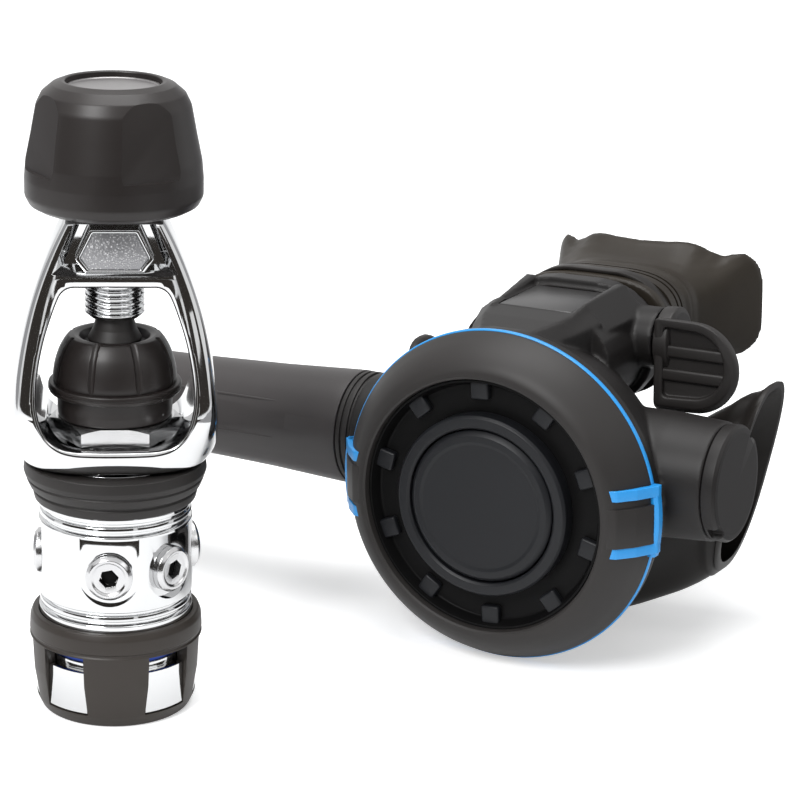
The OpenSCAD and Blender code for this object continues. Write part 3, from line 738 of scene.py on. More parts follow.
def through(marks: Sequence[Point2], parts: int = 4) -> list[Point2]:
    """Points of the smooth line through marks, with parts steps between two of them."""
    xs = [(float(i), x) for i, (x, _) in enumerate(marks)]
    ys = [(float(i), y) for i, (_, y) in enumerate(marks)]
    return [(flowing(xs, i / parts), flowing(ys, i / parts))
            for i in range((len(marks) - 1) * parts + 1)]


def lying(low: float, high: float, outline: Sequence[Point2], name: str = "tool"
          ) -> bpy.types.Object:
    """A prism whose outline stands in X and Z and which runs in Y from low to high."""
    obj = Bench.prism(name, outline, -high, -low)
    return Bench.move(obj, spin(90, "X"))


def port(angle: float) -> Matrix:
    """Place of a port: Z points out of it and Y points up."""
    return spin(angle) @ spin(90, "X") @ Matrix.Translation((0, PORT_Z, 0))


# ---- first stage ---------------------------------------------------------------------------


@dataclass
class FirstStage:
    """Body, ports, guard and what is inside them."""

    shop: Shop
    low_ports: tuple[float, ...] = (-95, -5, 47)
    high_port: float = 108
    windows: tuple[float, ...] = (-38.5, 38.5, -90, 90, -141.5, 141.5)

    def build(self) -> None:
        """Models every piece from the guard to the collar."""
        self.guard()
        self.cap()
        self.body()
        self.plugs()
        self.collar()
        self.inside()

    def guard(self) -> None:
        """Rubber guard with six windows and a band round its top."""
        obj = Bench.turned("guard_skin", [
            (0, 0, 0), (19.6, 0, 1.2), (21, 3, 3), (22.4, 12, 8), (22.8, 20.2, 0.3),
            (22.45, 20.6, 0.1), (22.45, 21.1, 0.1), (22.8, 21.5, 0.3), (22.6, 25, 2),
            (21.9, 26.8, 0.6), (20.35, 26.8, 0.3), (20.35, 24, 0), (18.8, 24, 0.3), (18.8, 3, 0.8),
            (0, 3, 0)])
        for angle in self.windows:
            cut = Bench.block("cut", (-6.4, -30, 3.4), (6.4, -12, 20.0))
            Bench.carve(obj, Bench.move(cut, spin(angle)))
        Bench.round_edges(obj, 0.55, 3, 50)
        self.shop.place(obj, GUARD_SKIN, "first_stage", FIRST, ["guard"])

    def cap(self) -> None:
        """Plated cap of the spring chamber with a pad in each window, and the blue ring."""
        obj = Bench.turned("chamber_cap_skin", [
            (0, 3.02, 0), (18.55, 3.02, 0.6), (18.55, 12.6, 0.2), (18.2, 12.9, 0.1),
            (18.2, 13.4, 0.1), (18.55, 13.7, 0.2), (18.55, 17, 0.3), (16.45, 17, 0.2),
            (16.45, 12.2, 0), (15.2, 12.2, 0.2), (15.2, 5.4, 0.5), (0, 5.4, 0)])
        pads = []
        for angle in self.windows:
            pad = Bench.block("pad", (-6.2, -24, 3.9), (6.2, -18, 15.2))
            rim = Bench.turned("rim", [(0, 0), (20.9, 0), (21.2, 20), (0, 20)], 192)
            Bench.carve(pad, rim, how="INTERSECT")
            Bench.round_edges(pad, 0.35, 3, 50)
            pads.append(Bench.move(pad, spin(angle)))
        obj = Bench.join("chamber_cap_skin", obj, *pads)
        self.shop.place(obj, CHROME, "first_stage", FIRST, ["chamber_cap"])
        ring = Bench.turned("blue_ring_skin", [
            (16.45, 17.02, 0.1), (18.4, 17.02, 0.4), (18.4, 19.7, 0.4), (16.45, 19.7, 0.1)])
        self.shop.place(ring, BLUE_METAL, "first_stage", FIRST, ["blue_ring"])

    @staticmethod
    def double_groove(z: float) -> list[Point3]:
        """Profile of two grooves and the band between them, upwards from height z."""
        return [(r, z + rise, soft) for r, rise, soft in (
            (19.2, 0, 0.1), (19.2, 0.6, 0.1), (19.9, 0.8, 0.3), (20.05, 1.5, 0.4),
            (19.9, 2.2, 0.3), (19.2, 2.4, 0.1), (19.2, 3.0, 0.1), (20.2, 3.4, 0.4))]

    def body(self) -> None:
        """Plated body with a double groove at each end, five ports and the chamber's vents."""
        obj = Bench.turned("first_body_skin", [
            (15.2, 12.4, 0.2), (16.4, 12.4, 0.2), (16.4, 24, 0), (20.2, 24, 0.35),
            (20.2, 28.4, 0.4), *self.double_groove(28.8), (20.2, 52.8, 0.4),
            *self.double_groove(53.2), (20.2, 58, 0.4), (17.5, 58, 0.1), (17.5, 68.5, 0.2),
            (11.6, 68.5, 0.3), (11.6, 56, 0.2), (1.3, 56, 0), (1.3, 52.8, 0), (3.2, 52.8, 0.1),
            (3.2, 53.8, 0.1), (9.5, 53.8, 0.2),
            (9.5, 36, 0.2), (4.05, 36, 0.2), (4.05, 31.2, 0.1), (6.2, 31.2, 0.1), (6.2, 29.2, 0.1),
            (4.05, 29.2, 0.1), (4.05, 24, 0.2), (15.2, 24, 0.3)])
        foot = [(8 * math.cos(t), 8 * math.sin(t))
                for t in (math.radians(-180 + 180 * i / 40) for i in range(41))]
        for angle in (*self.low_ports, self.high_port, 180):
            for tool in (Bench.prism("flat", [*foot, (8, 10.0), (-8, 10.0)], PORT_FLAT, 24),
                         Bench.turned("seat", rod(5.65, 17.6, 25), 48),
                         Bench.turned("bore", rod(4.75, 11.5, 18), 48)):
                Bench.carve(obj, Bench.move(tool, port(angle)))
        for angle in range(0, 360, 60):
            vent = Bench.turned("vent", rod(1.9, 13, 18), 32)
            Bench.carve(obj, Bench.move(vent, spin(angle) @ Matrix.Translation((0, 0, 21.9))
                                        @ spin(90, "X")))
        Bench.round_edges(obj, 0.3, 3, 50)
        self.shop.place(obj, CHROME, "first_stage", FIRST, ["first_body"])

    @staticmethod
    def plug(name: str, radius: float, proud: float) -> bpy.types.Object:
        """One port plug with a dished head and a hexagonal socket."""
        top = PORT_FLAT + proud
        obj = Bench.turned(name, [
            (0, 11.8, 0), (4.65, 11.8, 0.4), (4.65, 17.6, 0), (4.55, 17.7, 0), (4.55, 18.72, 0),
            (radius, 18.72, 0.15), (radius, top - 0.9, 0.35), (radius - 0.9, top, 0.4),
            (radius - 1.5, top - 0.05, 0.2), (radius - 2.0, top - 0.45, 0.3),
            (0, top - 0.5, 0)], 96)
        Bench.carve(obj, Bench.prism("socket", ngon(2.6, 6, 12), top - 3.1, top + 2))
        Bench.round_edges(obj, 0.22, 3, 50)
        return obj

    def plugs(self) -> None:
        """Three equal plugs in one piece, the wider one, and discs of painted shade at the floors
        of their sockets.
        """
        first = self.plug("port_plugs_skin", 6.05, 2.6)
        twins = [Bench.copy(first, f"plug_{i}") for i in range(2)]
        for obj, angle in zip((first, *twins), self.low_ports):
            Bench.move(obj, port(angle))
        self.shop.place(Bench.join("port_plugs_skin", first, *twins), SATIN, "first_stage", FIRST,
                        ["port_plugs"])
        wide = Bench.move(self.plug("high_plug_skin", 6.75, 3.0), port(self.high_port))
        self.shop.place(wide, SATIN, "first_stage", FIRST, ["high_plug"])
        # Near-black discs sunk in each hex socket: painted shade on a floor that is the plug's own
        # metal.
        socket_shade_discs = []
        for angle, top in (*((a, 21.3) for a in self.low_ports), (self.high_port, 21.7)):
            floor = Bench.turned("floor", [
                (0, top - 3.08, 0), (2.2, top - 3.08, 0.1), (2.2, top - 2.7, 0.1),
                (0, top - 2.6, 0)], 32)
            socket_shade_discs.append(Bench.move(floor, port(angle)))
        self.shop.place(Bench.join("plug_socket_shade", *socket_shade_discs), PAINTED_SHADE, "first_stage", FIRST)

    def collar(self) -> None:
        """Rubber collar between the body and the yoke, with three steps."""
        obj = Bench.turned("collar_skin", [
            (17.55, 58.02, 0.1), (21.1, 58.02, 0.5), (21.6, 60.3, 0.3), (21.3, 60.7, 0.1),
            (21.3, 61.1, 0.1), (22.3, 61.5, 0.4), (23.2, 63.6, 0.2), (22.95, 63.9, 0.08),
            (23.0, 64.2, 0.08), (23.5, 64.5, 0.3), (23.9, 65.8, 0.8), (23.6, 68.4, 0.3),
            (17.55, 68.4, 0.1)])
        self.shop.place(obj, RUBBER, "first_stage", FIRST, ["collar_ring"])

    def inside(self) -> None:
        """Finishes of the pieces that the body hides."""
        for node, finish in {"piston": BRASS, "piston_seal": SEAL, "stem_seal": SEAL,
                             "high_seat": PALE, "piston_spring": WIRE, "plug_seals": SEAL,
                             "inlet_filter": BRONZE, "filter_ring": SATIN,
                             "inlet_seal": SEAL}.items():
            self.shop.dress(node, finish)


# ---- yoke and clamp screw ------------------------------------------------------------------


@dataclass
class YokeClamp:
    """Yoke, inlet, dust cap and the screw with its knob."""

    shop: Shop
    mid: float = 76.0
    foot: float = 26.7
    foot_draw: float = 4.1
    foot_height: float = 7.5
    arm_r: float = 125.5
    arm_sunk: float = 98.8
    knob_z: float = 135.5

    def build(self) -> None:
        """Models every piece from the collar to the knob's disc."""
        self.yoke()
        self.badge()
        self.retainer()
        self.dust_cap()
        self.screw()
        self.knob()

    def half_width(self, z: float) -> float:
        """Half width of the yoke at a height."""
        if z < self.mid:
            return self.foot - self.foot_draw * ((self.mid - z) / self.foot_height) ** 2.2
        return math.sqrt(self.arm_r ** 2 - (z - self.mid) ** 2) - self.arm_sunk

    @staticmethod
    def half_depth(z: float) -> float:
        """Half depth of the yoke at a height."""
        return flowing(((68.5, 17.0), (70, 18.5), (73, 19.4), (78, 19.5), (83, 19.2), (88, 18.2),
                        (95, 16.7), (104, 14.7), (112, 13.1), (120, 12.7), (134.5, 12.5)), z)

    @staticmethod
    def squareness(z: float) -> float:
        """How boxy the yoke's section is at a height: round at its foot, boxy in its arms."""
        return flowing(((68.5, 2.7), (75, 2.8), (84, 6.0), (92, 6.5), (134.5, 6.5)), z)

    def section(self, z: float, inset: float = 0.0, around: int = 160) -> list[Point3]:
        """Level section of the yoke at a height, drawn in by inset."""
        width, depth = self.half_width(z) - inset, self.half_depth(z) - inset
        power = 2 / self.squareness(z)
        out = []
        for step in range(around):
            turn = math.tau * step / around
            across, deep = math.cos(turn), math.sin(turn)
            out.append((boxy(across, power) * width, boxy(deep, power) * depth, z))
        return out

    def face(self, x: float, z: float) -> float:
        """Distance of the yoke's front face from the middle plane."""
        power = self.squareness(z)
        part = min(1.0, abs(x) / self.half_width(z)) ** power
        return self.half_depth(z) * (1 - part) ** (1 / power)

    def window(self) -> list[Point2]:
        """Outline of the window that the cylinder valve passes, with rounded corners."""
        side = through([
            (0, 75.7), (6, 75.7), (10.6, 75.75), (14.4, 76.6), (17.3, 79.0), (19.0, 82.6),
            (19.9, 87), (19.9, 92), (19.1, 98), (17.6, 104.5), (15.8, 110), (14.5, 113.4),
            (13.3, 115.6), (11.2, 116.9), (7.5, 117), (0, 117)])
        return [*side, *[(-x, z) for x, z in reversed(side[1:-1])]]

    def window_tool(self, fillet: float) -> bpy.types.Object:
        """A cutter for the window whose edges flare out in a fillet at the front and back."""
        outline = self.window()
        last = len(outline)
        outward = []
        for index in range(last):
            (x0, z0), (x1, z1) = outline[index - 1], outline[(index + 1) % last]
            outward.append(Vector((z1 - z0, x0 - x1)).normalized())

        def ring(way: int, grow: float, sink: float) -> list[Point3]:
            """One ring of the cutter, grown outwards and sunk below the face."""
            points = []
            for (x, z), normal in zip(outline, outward):
                wide, high = x + normal.x * grow, z + normal.y * grow
                points.append((wide, way * (self.face(wide, high) - sink), high))
            return points

        turns = [math.radians(24 + 11 * i) for i in range(7)]
        bend = [(fillet * (1 - math.sin(t)), fillet * (1 - math.cos(t))) for t in turns]
        reach = (bend[0][1] + 0.8) / math.sin(turns[0])
        wide = bend[0][0] + reach * math.cos(turns[0])
        bend = [(wide, -3.5), (wide, -0.8), *bend]
        return Bench.lofted("window", [*[ring(-1, grow, sink) for grow, sink in bend],
                                       *[ring(1, grow, sink) for grow, sink in reversed(bend)]])

    @staticmethod
    def tapered(front: Sequence[Point2], back: Sequence[Point2], near: float, far: float,
                name: str = "tool") -> bpy.types.Object:
        """A cutter between two outlines in X and Z, one at Y = near and one at Y = far."""
        return Bench.lofted(name, [[(x, y, z) for x, z in outline]
                                   for outline, y in ((front, near), (back, far))])

    def yoke(self) -> None:
        """Forged yoke: a round foot, boxy arms, a filleted window and a pocket in the crossbar."""
        levels = [(68.5, 1.2), (68.75, 0.6), (69.2, 0.2), (69.9, 0.0),
                  *[(71.2 + 1.5 * i, 0.0) for i in range(42)],
                  (133.7, 0.0), (134.3, 0.3), (134.5, 0.8)]
        obj = Bench.lofted("yoke_skin", [self.section(z, inset) for z, inset in levels])
        seat = Bench.turned("seat", [
            (0, 60), (12.6, 60), (12.6, 74.9), (17.7, 74.9), (17.7, 81.7), (0, 81.7)], 96)
        bore = Bench.turned("bore", rod(7.75, 109.3, 140), 90)
        Bench.carve(obj, seat, bore, self.window_tool(1.5))
        brow = [(17.0, 119.8), (-17.0, 119.8), (-11.0, 134.0), (11.0, 134.0)]
        floor = [(12.8, 122.6), (-12.8, 122.6), (-8.8, 132.8), (8.8, 132.8)]
        for way in (-1, 1):
            Bench.carve(obj, self.tapered(brow, floor, way * 13.2, way * 8.7))
        Bench.tidy(obj, 0.004)
        Bench.round_edges(obj, 0.35, 3, 40)
        self.shop.place(obj, CHROME, "first_stage", FIRST, ["yoke"], 40)

    def badge(self) -> None:
        """Bare hexagonal badge: a bright rim round a pebbled field."""
        outline = [(-7.4, 121.0), (7.4, 121.0), (9.9, 124.5), (6.2, 132.0), (-6.2, 132.0),
                   (-9.9, 124.5)]
        obj = lying(-11.7, -8.75, outline, "badge_rim")
        inner = [(x * 0.88, 126.4 + (z - 126.4) * 0.86) for x, z in outline]
        Bench.carve(obj, lying(-13, -11.1, inner))
        Bench.round_edges(obj, 0.3, 3, 30)
        self.shop.place(obj, CHROME, "first_stage", FIRST, ["yoke_badge"])
        field_plate = lying(-11.35, -11.0, [(x * 0.98, 126.4 + (z - 126.4) * 0.98)
                                            for x, z in inner], "badge_field")
        Bench.round_edges(field_plate, 0.12, 2, 30)
        self.shop.place(field_plate, BADGE, "first_stage", FIRST)

    def retainer(self) -> None:
        """Hexagonal yoke retainer with the inlet's nose."""
        nut = Bench.prism("nut", ngon(17.32, 6), 75.7, 80.4)
        chamfer = Bench.turned("chamfer", [
            (0, 75), (17.6, 75), (17.6, 79.0), (15.4, 80.4), (15, 81), (0, 81)], 96)
        Bench.carve(nut, chamfer, how="INTERSECT")
        Bench.carve(nut, Bench.turned("core", rod(12, 75, 81), 96))
        Bench.round_edges(nut, 0.35, 3, 28)
        core = Bench.turned("core", [
            (3.5, 58.4, 0.2), (11.55, 58.4, 0.3), (11.55, 68.5, 0), (12.05, 68.5, 0),
            (12.05, 80.35, 0), (11, 80.4, 0), (11, 88, 0.4), (9.6, 88, 0.1), (9.6, 86.7, 0.1),
            (7.4, 86.7, 0.1), (7.4, 88, 0.1), (6, 88, 0.2), (6, 81.4, 0.1), (3.5, 81.4, 0.1)])
        self.shop.place(Bench.join("yoke_retainer_skin", nut, core), SATIN, "first_stage", FIRST,
                        ["yoke_retainer"])

    def dust_cap(self) -> None:
        """Rubber dust cap: skirt, flange with a groove and a smooth dome with eight flutes."""
        side = through([(15.9, 89.6), (16.0, 91.4), (15.5, 94.6), (14.4, 98.0), (13.1, 100.4)], 5)
        dome = Bench.turned("dome", [
            (0, 89, 0), (15.7, 89, 0.2), *[(r, z, 0) for r, z in side], (12.0, 101.8, 0.8),
            (10.6, 102, 0.6), (9.2, 101.6, 0.5), (8.3, 99.6, 0.4), (7.9, 99.2, 0.2),
            (0, 99.2, 0)])
        for step in range(8):
            groove = Bench.lofted("groove", [
                [(wide * math.cos(t), -deep + wide * math.sin(t), z)
                 for t in (math.tau * i / 16 for i in range(16))]
                for z, deep, wide in ((88.2, 17.2, 1.0), (91.4, 16.6, 1.1), (94.6, 16.1, 1.15),
                                      (98.0, 15.0, 1.15), (100.4, 13.7, 1.15),
                                      (103.0, 11.4, 1.3))])
            Bench.carve(dome, Bench.move(groove, spin(45 * step + 22.5)))
        Bench.round_edges(dome, 0.45, 3, 30)
        flange = Bench.turned("flange", [
            (11.35, 80.5, 0.1), (14.7, 80.5, 0.5), (14.9, 83, 0.3), (14.9, 86.6, 0.3),
            (16.9, 87.0, 0.6), (17.3, 87.9, 0.1), (17.05, 88.1, 0.05), (17.05, 88.4, 0.05),
            (17.3, 88.6, 0.1), (17.1, 89.5, 0.5), (15.5, 89.6, 0.2), (11.35, 89.4, 0)])
        self.shop.place(Bench.join("dust_cap_skin", dome, flange), KNOB_SKIN, "cap", FIRST,
                        ["dust_cap"], 40)

    def screw(self) -> None:
        """Plated clamp screw with ring grooves and the black cone at its tip."""
        profile: list[Point2] = [(0, 106.8), (6.3, 106.8), (7.7, 108.0)]
        for turn in range(17):
            z = 108.0 + turn * PITCH
            profile += [(7.7, z + 0.32), (7.55, z + 0.45), (7.05, z + 0.72), (7.0, z + 0.8),
                        (7.05, z + 0.88), (7.55, z + 1.15), (7.7, z + 1.28)]
        obj = Bench.turned("yoke_screw_skin", [*profile, (7.7, 149.4), (0, 149.4)])
        self.shop.place(obj, CHROME, "knob", FIRST, ["yoke_screw"], 60)
        tip = Bench.turned("screw_tip_skin", [
            (0, 99.72, 0), (6.6, 99.72, 0.5), (7.0, 101.0, 0.4), (5.6, 103.6, 1.0),
            (4.7, 106.75, 0.2), (0, 106.75, 0)], 96)
        self.shop.place(tip, RUBBER, "tip", FIRST, ["screw_tip"])

    def knob(self) -> None:
        """Soft-touch knob with four slanting flats, a recess and a bare disc."""
        z = self.knob_z
        obj = Bench.turned("knob_skin", [
            (7.75, z, 0.2), (19.4, z, 1.0), (21.6, z + 1.2, 1.4), (22.7, z + 3.4, 2.4),
            (22.7, z + 7.9, 5), (22.3, z + 12.5, 6), (21, z + 18.9, 8), (19.6, z + 26.5, 5),
            (18.2, z + 29.4, 1.6), (15.6, z + 31.6, 1.2), (13.3, z + 32.5, 0.8),
            (12.2, z + 32.4, 0.5), (12.2, z + 29.5, 0.3), (7.75, z + 29.5, 0)])
        core = Bench.turned("core", rod(25, z - 2, z + 10.4), 64)
        flats = Bench.lofted("flats", [
            [(x, y, h) for x, y in ngon(r, 4, 45)]
            for r, h in ((29.84, z + 10.3), (24.47, z + 33))])
        Bench.carve(core, flats, how="UNION")
        Bench.move(core, spin(26))
        Bench.carve(obj, core, how="INTERSECT")
        Bench.round_edges(obj, 0.6, 4, 14)
        self.shop.place(obj, KNOB_SKIN, "knob", FIRST, ["knob"], 30)
        disc = Bench.turned("knob_disc_skin", [
            (0, z + 29.52, 0), (12.1, z + 29.52, 0.1), (12.1, z + 31.1, 0.35),
            (11.2, z + 31.1, 0.1), (11.0, z + 30.9, 0.1), (0, z + 30.9, 0)])
        self.shop.place(disc, DISC, "knob", FIRST, ["knob_disc"])


# ---- hose ----------------------------------------------------------------------------------


@dataclass
class HoseLine:
    """Hose from the first stage's port to the swivel of the second stage."""

    shop: Shop
    diameter: float = 0.0115
    free: tuple[Point3, ...] = (
        (-1, 133, 46), (-8, 152, 42), (-7, 171, 35), (1, 188, 27),
        (15, 201, 19), (33, 208, 13), (53, 209, 8), (72, 202, 6),
        (89, 191, 6), (105, 178, 6), (126, 173, 6), (146, 178, 6),
        (161, 190, 6), (170, 209, 6), (170, 229, 6), (161, 248, 6),
        (144, 261, 6), (122, 265, 6), (105, 261, 6), (88, 249, 6),
        (73, 236, 6), (54, 229, 6), (34, 229, 6), (14, 224, 6),
        (-2, 212, 6), (-12, 193, 6), (-13, 173, 6), (-13, 152, 6),
        (-11, 132, 11), (-8, 114, 20), (-4, 96, 31), (-1, 77, 39))

    def build(self) -> None:
        """Lays the hose, then its ferrules, sleeve and nut."""
        hose = self.cord()
        sleeve = self.sleeve()
        ferrule = Bench.turned("case_ferrule_skin", [
            (5.8, -90, 0.1), (7.15, -90, 0.4), (7.15, -62, 0.4), (5.8, -62, 0.1)], steps=72)
        self.shop.place(ferrule, SATIN, "first_stage", about_r(), ["case_ferrule"])
        nut = Bench.turned("swivel_nut_skin", [
            (1.5, -84, 0.1), (2.2, -84, 0.1), (2.2, -61.8, 0), (10.2, -61.8, 0.4),
            (10.2, -50.3, 0.4), (5.2, -50.3, 0.1), (5.2, -46, 0.2), (1.5, -46, 0.1)], steps=72)
        self.shop.place(nut, CHROME, "first_stage", about_r(), ["swivel_nut"])
        self.fitting()

    def cord(self) -> bpy.types.Object:
        """The hose itself: one smooth curve through the route's points."""
        inside = [SECOND @ Vector((x, BARREL_B, BARREL_U)) for x in (-62, -84, -106, -128)]
        route = [*inside, *[Vector(p) * 0.001 for p in self.free],
                 Vector((0, 0.058, 0.042)), Vector((0, 0.0361, 0.042))]
        curve = bpy.data.curves.new("hose", "CURVE")
        curve.dimensions = "3D"
        line = curve.splines.new("BEZIER")
        line.bezier_points.add(len(route) - 1)
        for knot, place in zip(line.bezier_points, route):
            knot.co = place
            knot.handle_left_type = knot.handle_right_type = "AUTO"
        line.resolution_u = 10
        curve.bevel_depth = self.diameter / 2
        curve.bevel_resolution = 8
        curve.use_fill_caps = True
        hose = bpy.data.objects.new("hose_line", curve)
        bpy.context.scene.collection.objects.link(hose)
        curve.materials.append(HOSE_SKIN.build())
        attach(hose, "first_stage")
        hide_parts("hose")
        return hose

    def sleeve(self) -> bpy.types.Object:
        """Tapered sleeve over the hose's end: a flat between two fine lines on either side."""
        obj = Bench.turned("hose_sleeve_skin", [
            (5.85, -128, 0.2), (13.2, -128, 0.9), (14.2, -126.6, 0.8), (14.6, -108, 4),
            (15.4, -84, 6), (16.7, -60, 2), (16.8, -56.75, 0.3), (10.6, -56.75, 0.2),
            (10.6, -62, 0.2), (7.25, -62, 0.2), (7.25, -91, 0.2), (5.85, -91, 0.2)])
        lines = []
        turn = spin(-12.8)
        for side in (-1, 1):
            flat = Bench.block("flat", (-5.2, -3, -2), (5.2, 3, 54))
            Bench.carve(obj, Bench.move(flat, turn @ Matrix.Translation((0, side * 16.2, -128))
                                        @ spin(-2.75 * side, "X")))
            for across in (-5.3, 5.3):
                line = Bench.block("line", (-0.35, -0.6, 0), (0.35, 0.6, 49), 0.25)
                lines.append(Bench.move(
                    line, turn @ Matrix.Translation((across, side * 13.1, -127))
                    @ spin(-1.3 * side, "X")))
        obj = Bench.join("hose_sleeve_skin", obj, *lines)
        Bench.round_edges(obj, 0.35, 3, 20)
        self.shop.place(obj, SLEEVE_SKIN, "first_stage", about_r(), ["hose_sleeve"])
        return obj

    def fitting(self) -> None:
        """Hexagonal fitting in the port and the crimped ferrule over the hose."""
        stem = Bench.turned("stem", [
            (1.5, 11.7, 0.1), (4.65, 11.7, 0.3), (4.65, 18.72, 0), (7.6, 18.72, 0.2),
            (7.6, 20.7, 0.2), (5.4, 20.75, 0), (5.4, 35.9, 0.3), (2.2, 35.9, 0), (2.2, 57.7, 0.1),
            (1.5, 57.7, 0.1)], steps=72)
        nut = Bench.prism("nut", ngon(8.08, 6), 20.7, 27.7)
        chamfer = Bench.turned("chamfer", [
            (0, 20.6, 0), (7.4, 20.6, 0), (8.2, 21.4, 0), (8.2, 27.0, 0), (7.4, 27.8, 0),
            (0, 27.8, 0)], 72)
        Bench.carve(nut, chamfer, how="INTERSECT")
        Bench.carve(nut, Bench.turned("hole", rod(5.3, 20, 29), 72))
        Bench.round_edges(nut, 0.2, 2, 28)
        fitting = Bench.move(Bench.join("port_fitting_skin", stem, nut), port(180))
        self.shop.place(fitting, SATIN, "first_stage", FIRST, ["port_fitting"])
        ferrule = Bench.turned("port_ferrule_skin", [
            (5.8, 36, 0.1), (7.15, 36, 0.2), (7.15, 36.7, 0.1), (7.65, 36.8, 0.2),
            (7.65, 38.6, 0.2), (7.15, 38.7, 0.1), (7.15, 43, 0.3), (6.85, 43.6, 0.2),
            (7.15, 44.2, 0.3), (7.15, 57.8, 0.5), (5.8, 57.8, 0.1)], steps=72)
        self.shop.place(ferrule, SATIN, "first_stage",
                        FIRST @ Matrix.Translation((0, 0, PORT_Z)) @ spin(-90, "X"),
                        ["port_ferrule"])


# ---- second stage --------------------------------------------------------------------------


@dataclass
class Cover:
    """Front cover, purge button and trim ring."""

    shop: Shop
    blocks: int = 10
    block_turn: float = 87

    def build(self) -> None:
        """Models the cover, its button and the blue ring."""
        self.cover()
        self.button()
        self.trim()
        for node, finish in {"purge_spring": WIRE, "diaphragm": SEAL,
                             "diaphragm_plate": PALE}.items():
            self.shop.dress(node, finish)

    def cover(self) -> None:
        """Soft cover with a recess lined in painted shade, ten blocks, an inner ring and two side
        panels.
        """
        rim = through([(36.7, 0.0), (38.4, 0.25), (40.3, 1.3), (42.4, 3.4), (44.3, 6.0),
                       (45.8, 8.7), (46.7, 10.5), (47, 11.4)], 5)
        obj = Bench.turned("front_cover_skin", [
            (6.05, 8.6), (6.05, 7), (34.5, 7), (35.9, 0.9), (36.1, 0.3), *rim, (41.2, 11.4),
            (41.2, 7.2), (39.2, 3.6), (37, 3.4), (35.6, 8.6)], steps=192)
        for step in range(6):
            hole = Bench.turned("hole", rod(2.6, 5, 11), 32)
            Bench.carve(obj, Bench.move(hole, spin(60 * step)
                                        @ Matrix.Translation((14.5, 0, 0))))
        # Near-black liner over the recess's floor and wall: painted shade where the rim shades the
        # recess.
        floor = Bench.turned("cover_recess_shade", [
            (25.6, 5.0, 0.1), (33.6, 5.0, 0.8), (34.9, 1.6, 0.2), (35.55, 1.6, 0.1),
            (34.45, 6.95, 0.1), (25.6, 6.95, 0.1)], steps=192)
        self.shop.place(floor, PAINTED_SHADE, "second_stage", about_b())
        ring = Bench.turned("cover_ring", [
            (22, 6.95, 0.1), (22, 0.6, 0.3), (22.7, 0, 0.4), (25.1, 0, 0.5), (25.8, 0.9, 0.5),
            (25.8, 6.95, 0.1)], steps=192)
        first = Bench.block("block", (29.6, -2.7, 2.9), (35.3, 2.7, 5.4), 0.7, 4)
        blocks = [first, *[Bench.copy(first, f"block_{i}") for i in range(self.blocks - 1)]]
        for step, part in enumerate(blocks):
            Bench.move(part, spin(step * 36 + self.block_turn))
        # The blocks take the button's darker rubber, not the cover's: painted shade in the recess.
        self.shop.place(Bench.join("cover_ring", ring, *blocks), BUTTON_SKIN, "second_stage",
                        about_b())
        parts = []
        for side in (0, 180):
            panel = Bench.prism("panel", soft_corners([
                (37.8, 0.1, 0.4), (40.6, 0.9, 2), (44.6, 5.2, 3), (47.2, 9.4, 2),
                (47.8, 11.0, 0.5), (45.5, 11.2, 0.2), (42, 6.5, 2), (37.8, 2.4, 0.4)]), -6.1, 5.0)
            Bench.round_edges(panel, 0.3, 2, 60)
            parts.append(Bench.move(panel, spin(side) @ spin(90, "X")))
        self.shop.place(Bench.join("front_cover_skin", obj, *parts), RUBBER, "second_stage",
                        about_b(), ["front_cover"])

    def button(self) -> None:
        """Purge button with a bare face, a fine line near its edge and its stem."""
        obj = Bench.turned("purge_button_skin", [
            (0, 0.55, 0), (9, 0.45, 0), (17.6, 0.02, 1.0), (18.5, -0.28, 0.4), (20.2, -0.2, 0.5),
            (20.7, 0.25, 0.2), (21.5, 1.0, 0.4), (21.6, 3.5, 0.3), (19.8, 3.5, 0.1),
            (19.8, 1.9, 0.1), (6, 1.9, 0), (6, 10.9, 0.3), (0, 10.9, 0)])
        self.shop.place(obj, BUTTON_SKIN, "button", about_b(), ["purge_button"])

    def trim(self) -> None:
        """Blue ring round the case with four short bars over the cover's edge."""
        ring = Bench.turned("trim", [
            (44.2, 11.42, 0.1), (47.2, 11.42, 0.3), (47.4, 11.8, 0.3), (47.4, 12.6, 0.3),
            (47.2, 13, 0.3), (44.2, 13, 0.1)], steps=192)
        thick = Bench.turned("thick", [
            (46.2, 10.6, 0.1), (47.7, 10.2, 0.3), (48.7, 10.8, 0.4), (48.8, 13.0, 0.4),
            (48.4, 13.4, 0.3), (46.2, 13.4, 0.1)], steps=192)
        both = Bench.join("both", Bench.block("keep", (40, -9.0, 5), (60, 10.1, 20)),
                          Bench.block("keep", (-60, -10.1, 5), (-40, 9.0, 20)))
        Bench.carve(thick, both, how="INTERSECT")
        bars = [thick]
        shape = soft_corners([
            (37.0, 0.6, 0.2), (40.4, 1.2, 2), (44.5, 5.6, 3), (47.1, 9.7, 2), (48.35, 11.2, 0.6),
            (48.4, 13, 0.4), (46, 13, 0.2), (46, 11.4, 0), (45.8, 10.4, 1), (43.2, 6.7, 2),
            (39.4, 2.6, 1), (37.0, 1.8, 0.2)])
        for side in (0, 180):
            for low in (-8.6, 7.5):
                bar = Bench.prism("bar", shape, -1.5, 1.5)
                Bench.round_edges(bar, 0.35, 3, 60)
                place = (spin(side) @ Matrix.Translation((0, -low if side else low, 0))
                         @ spin(90, "X"))
                bars.append(Bench.move(bar, place))
        self.shop.place(Bench.join("trim_ring_skin", ring, *bars), BLUE_TRIM, "second_stage",
                        about_b(), ["trim_ring"])


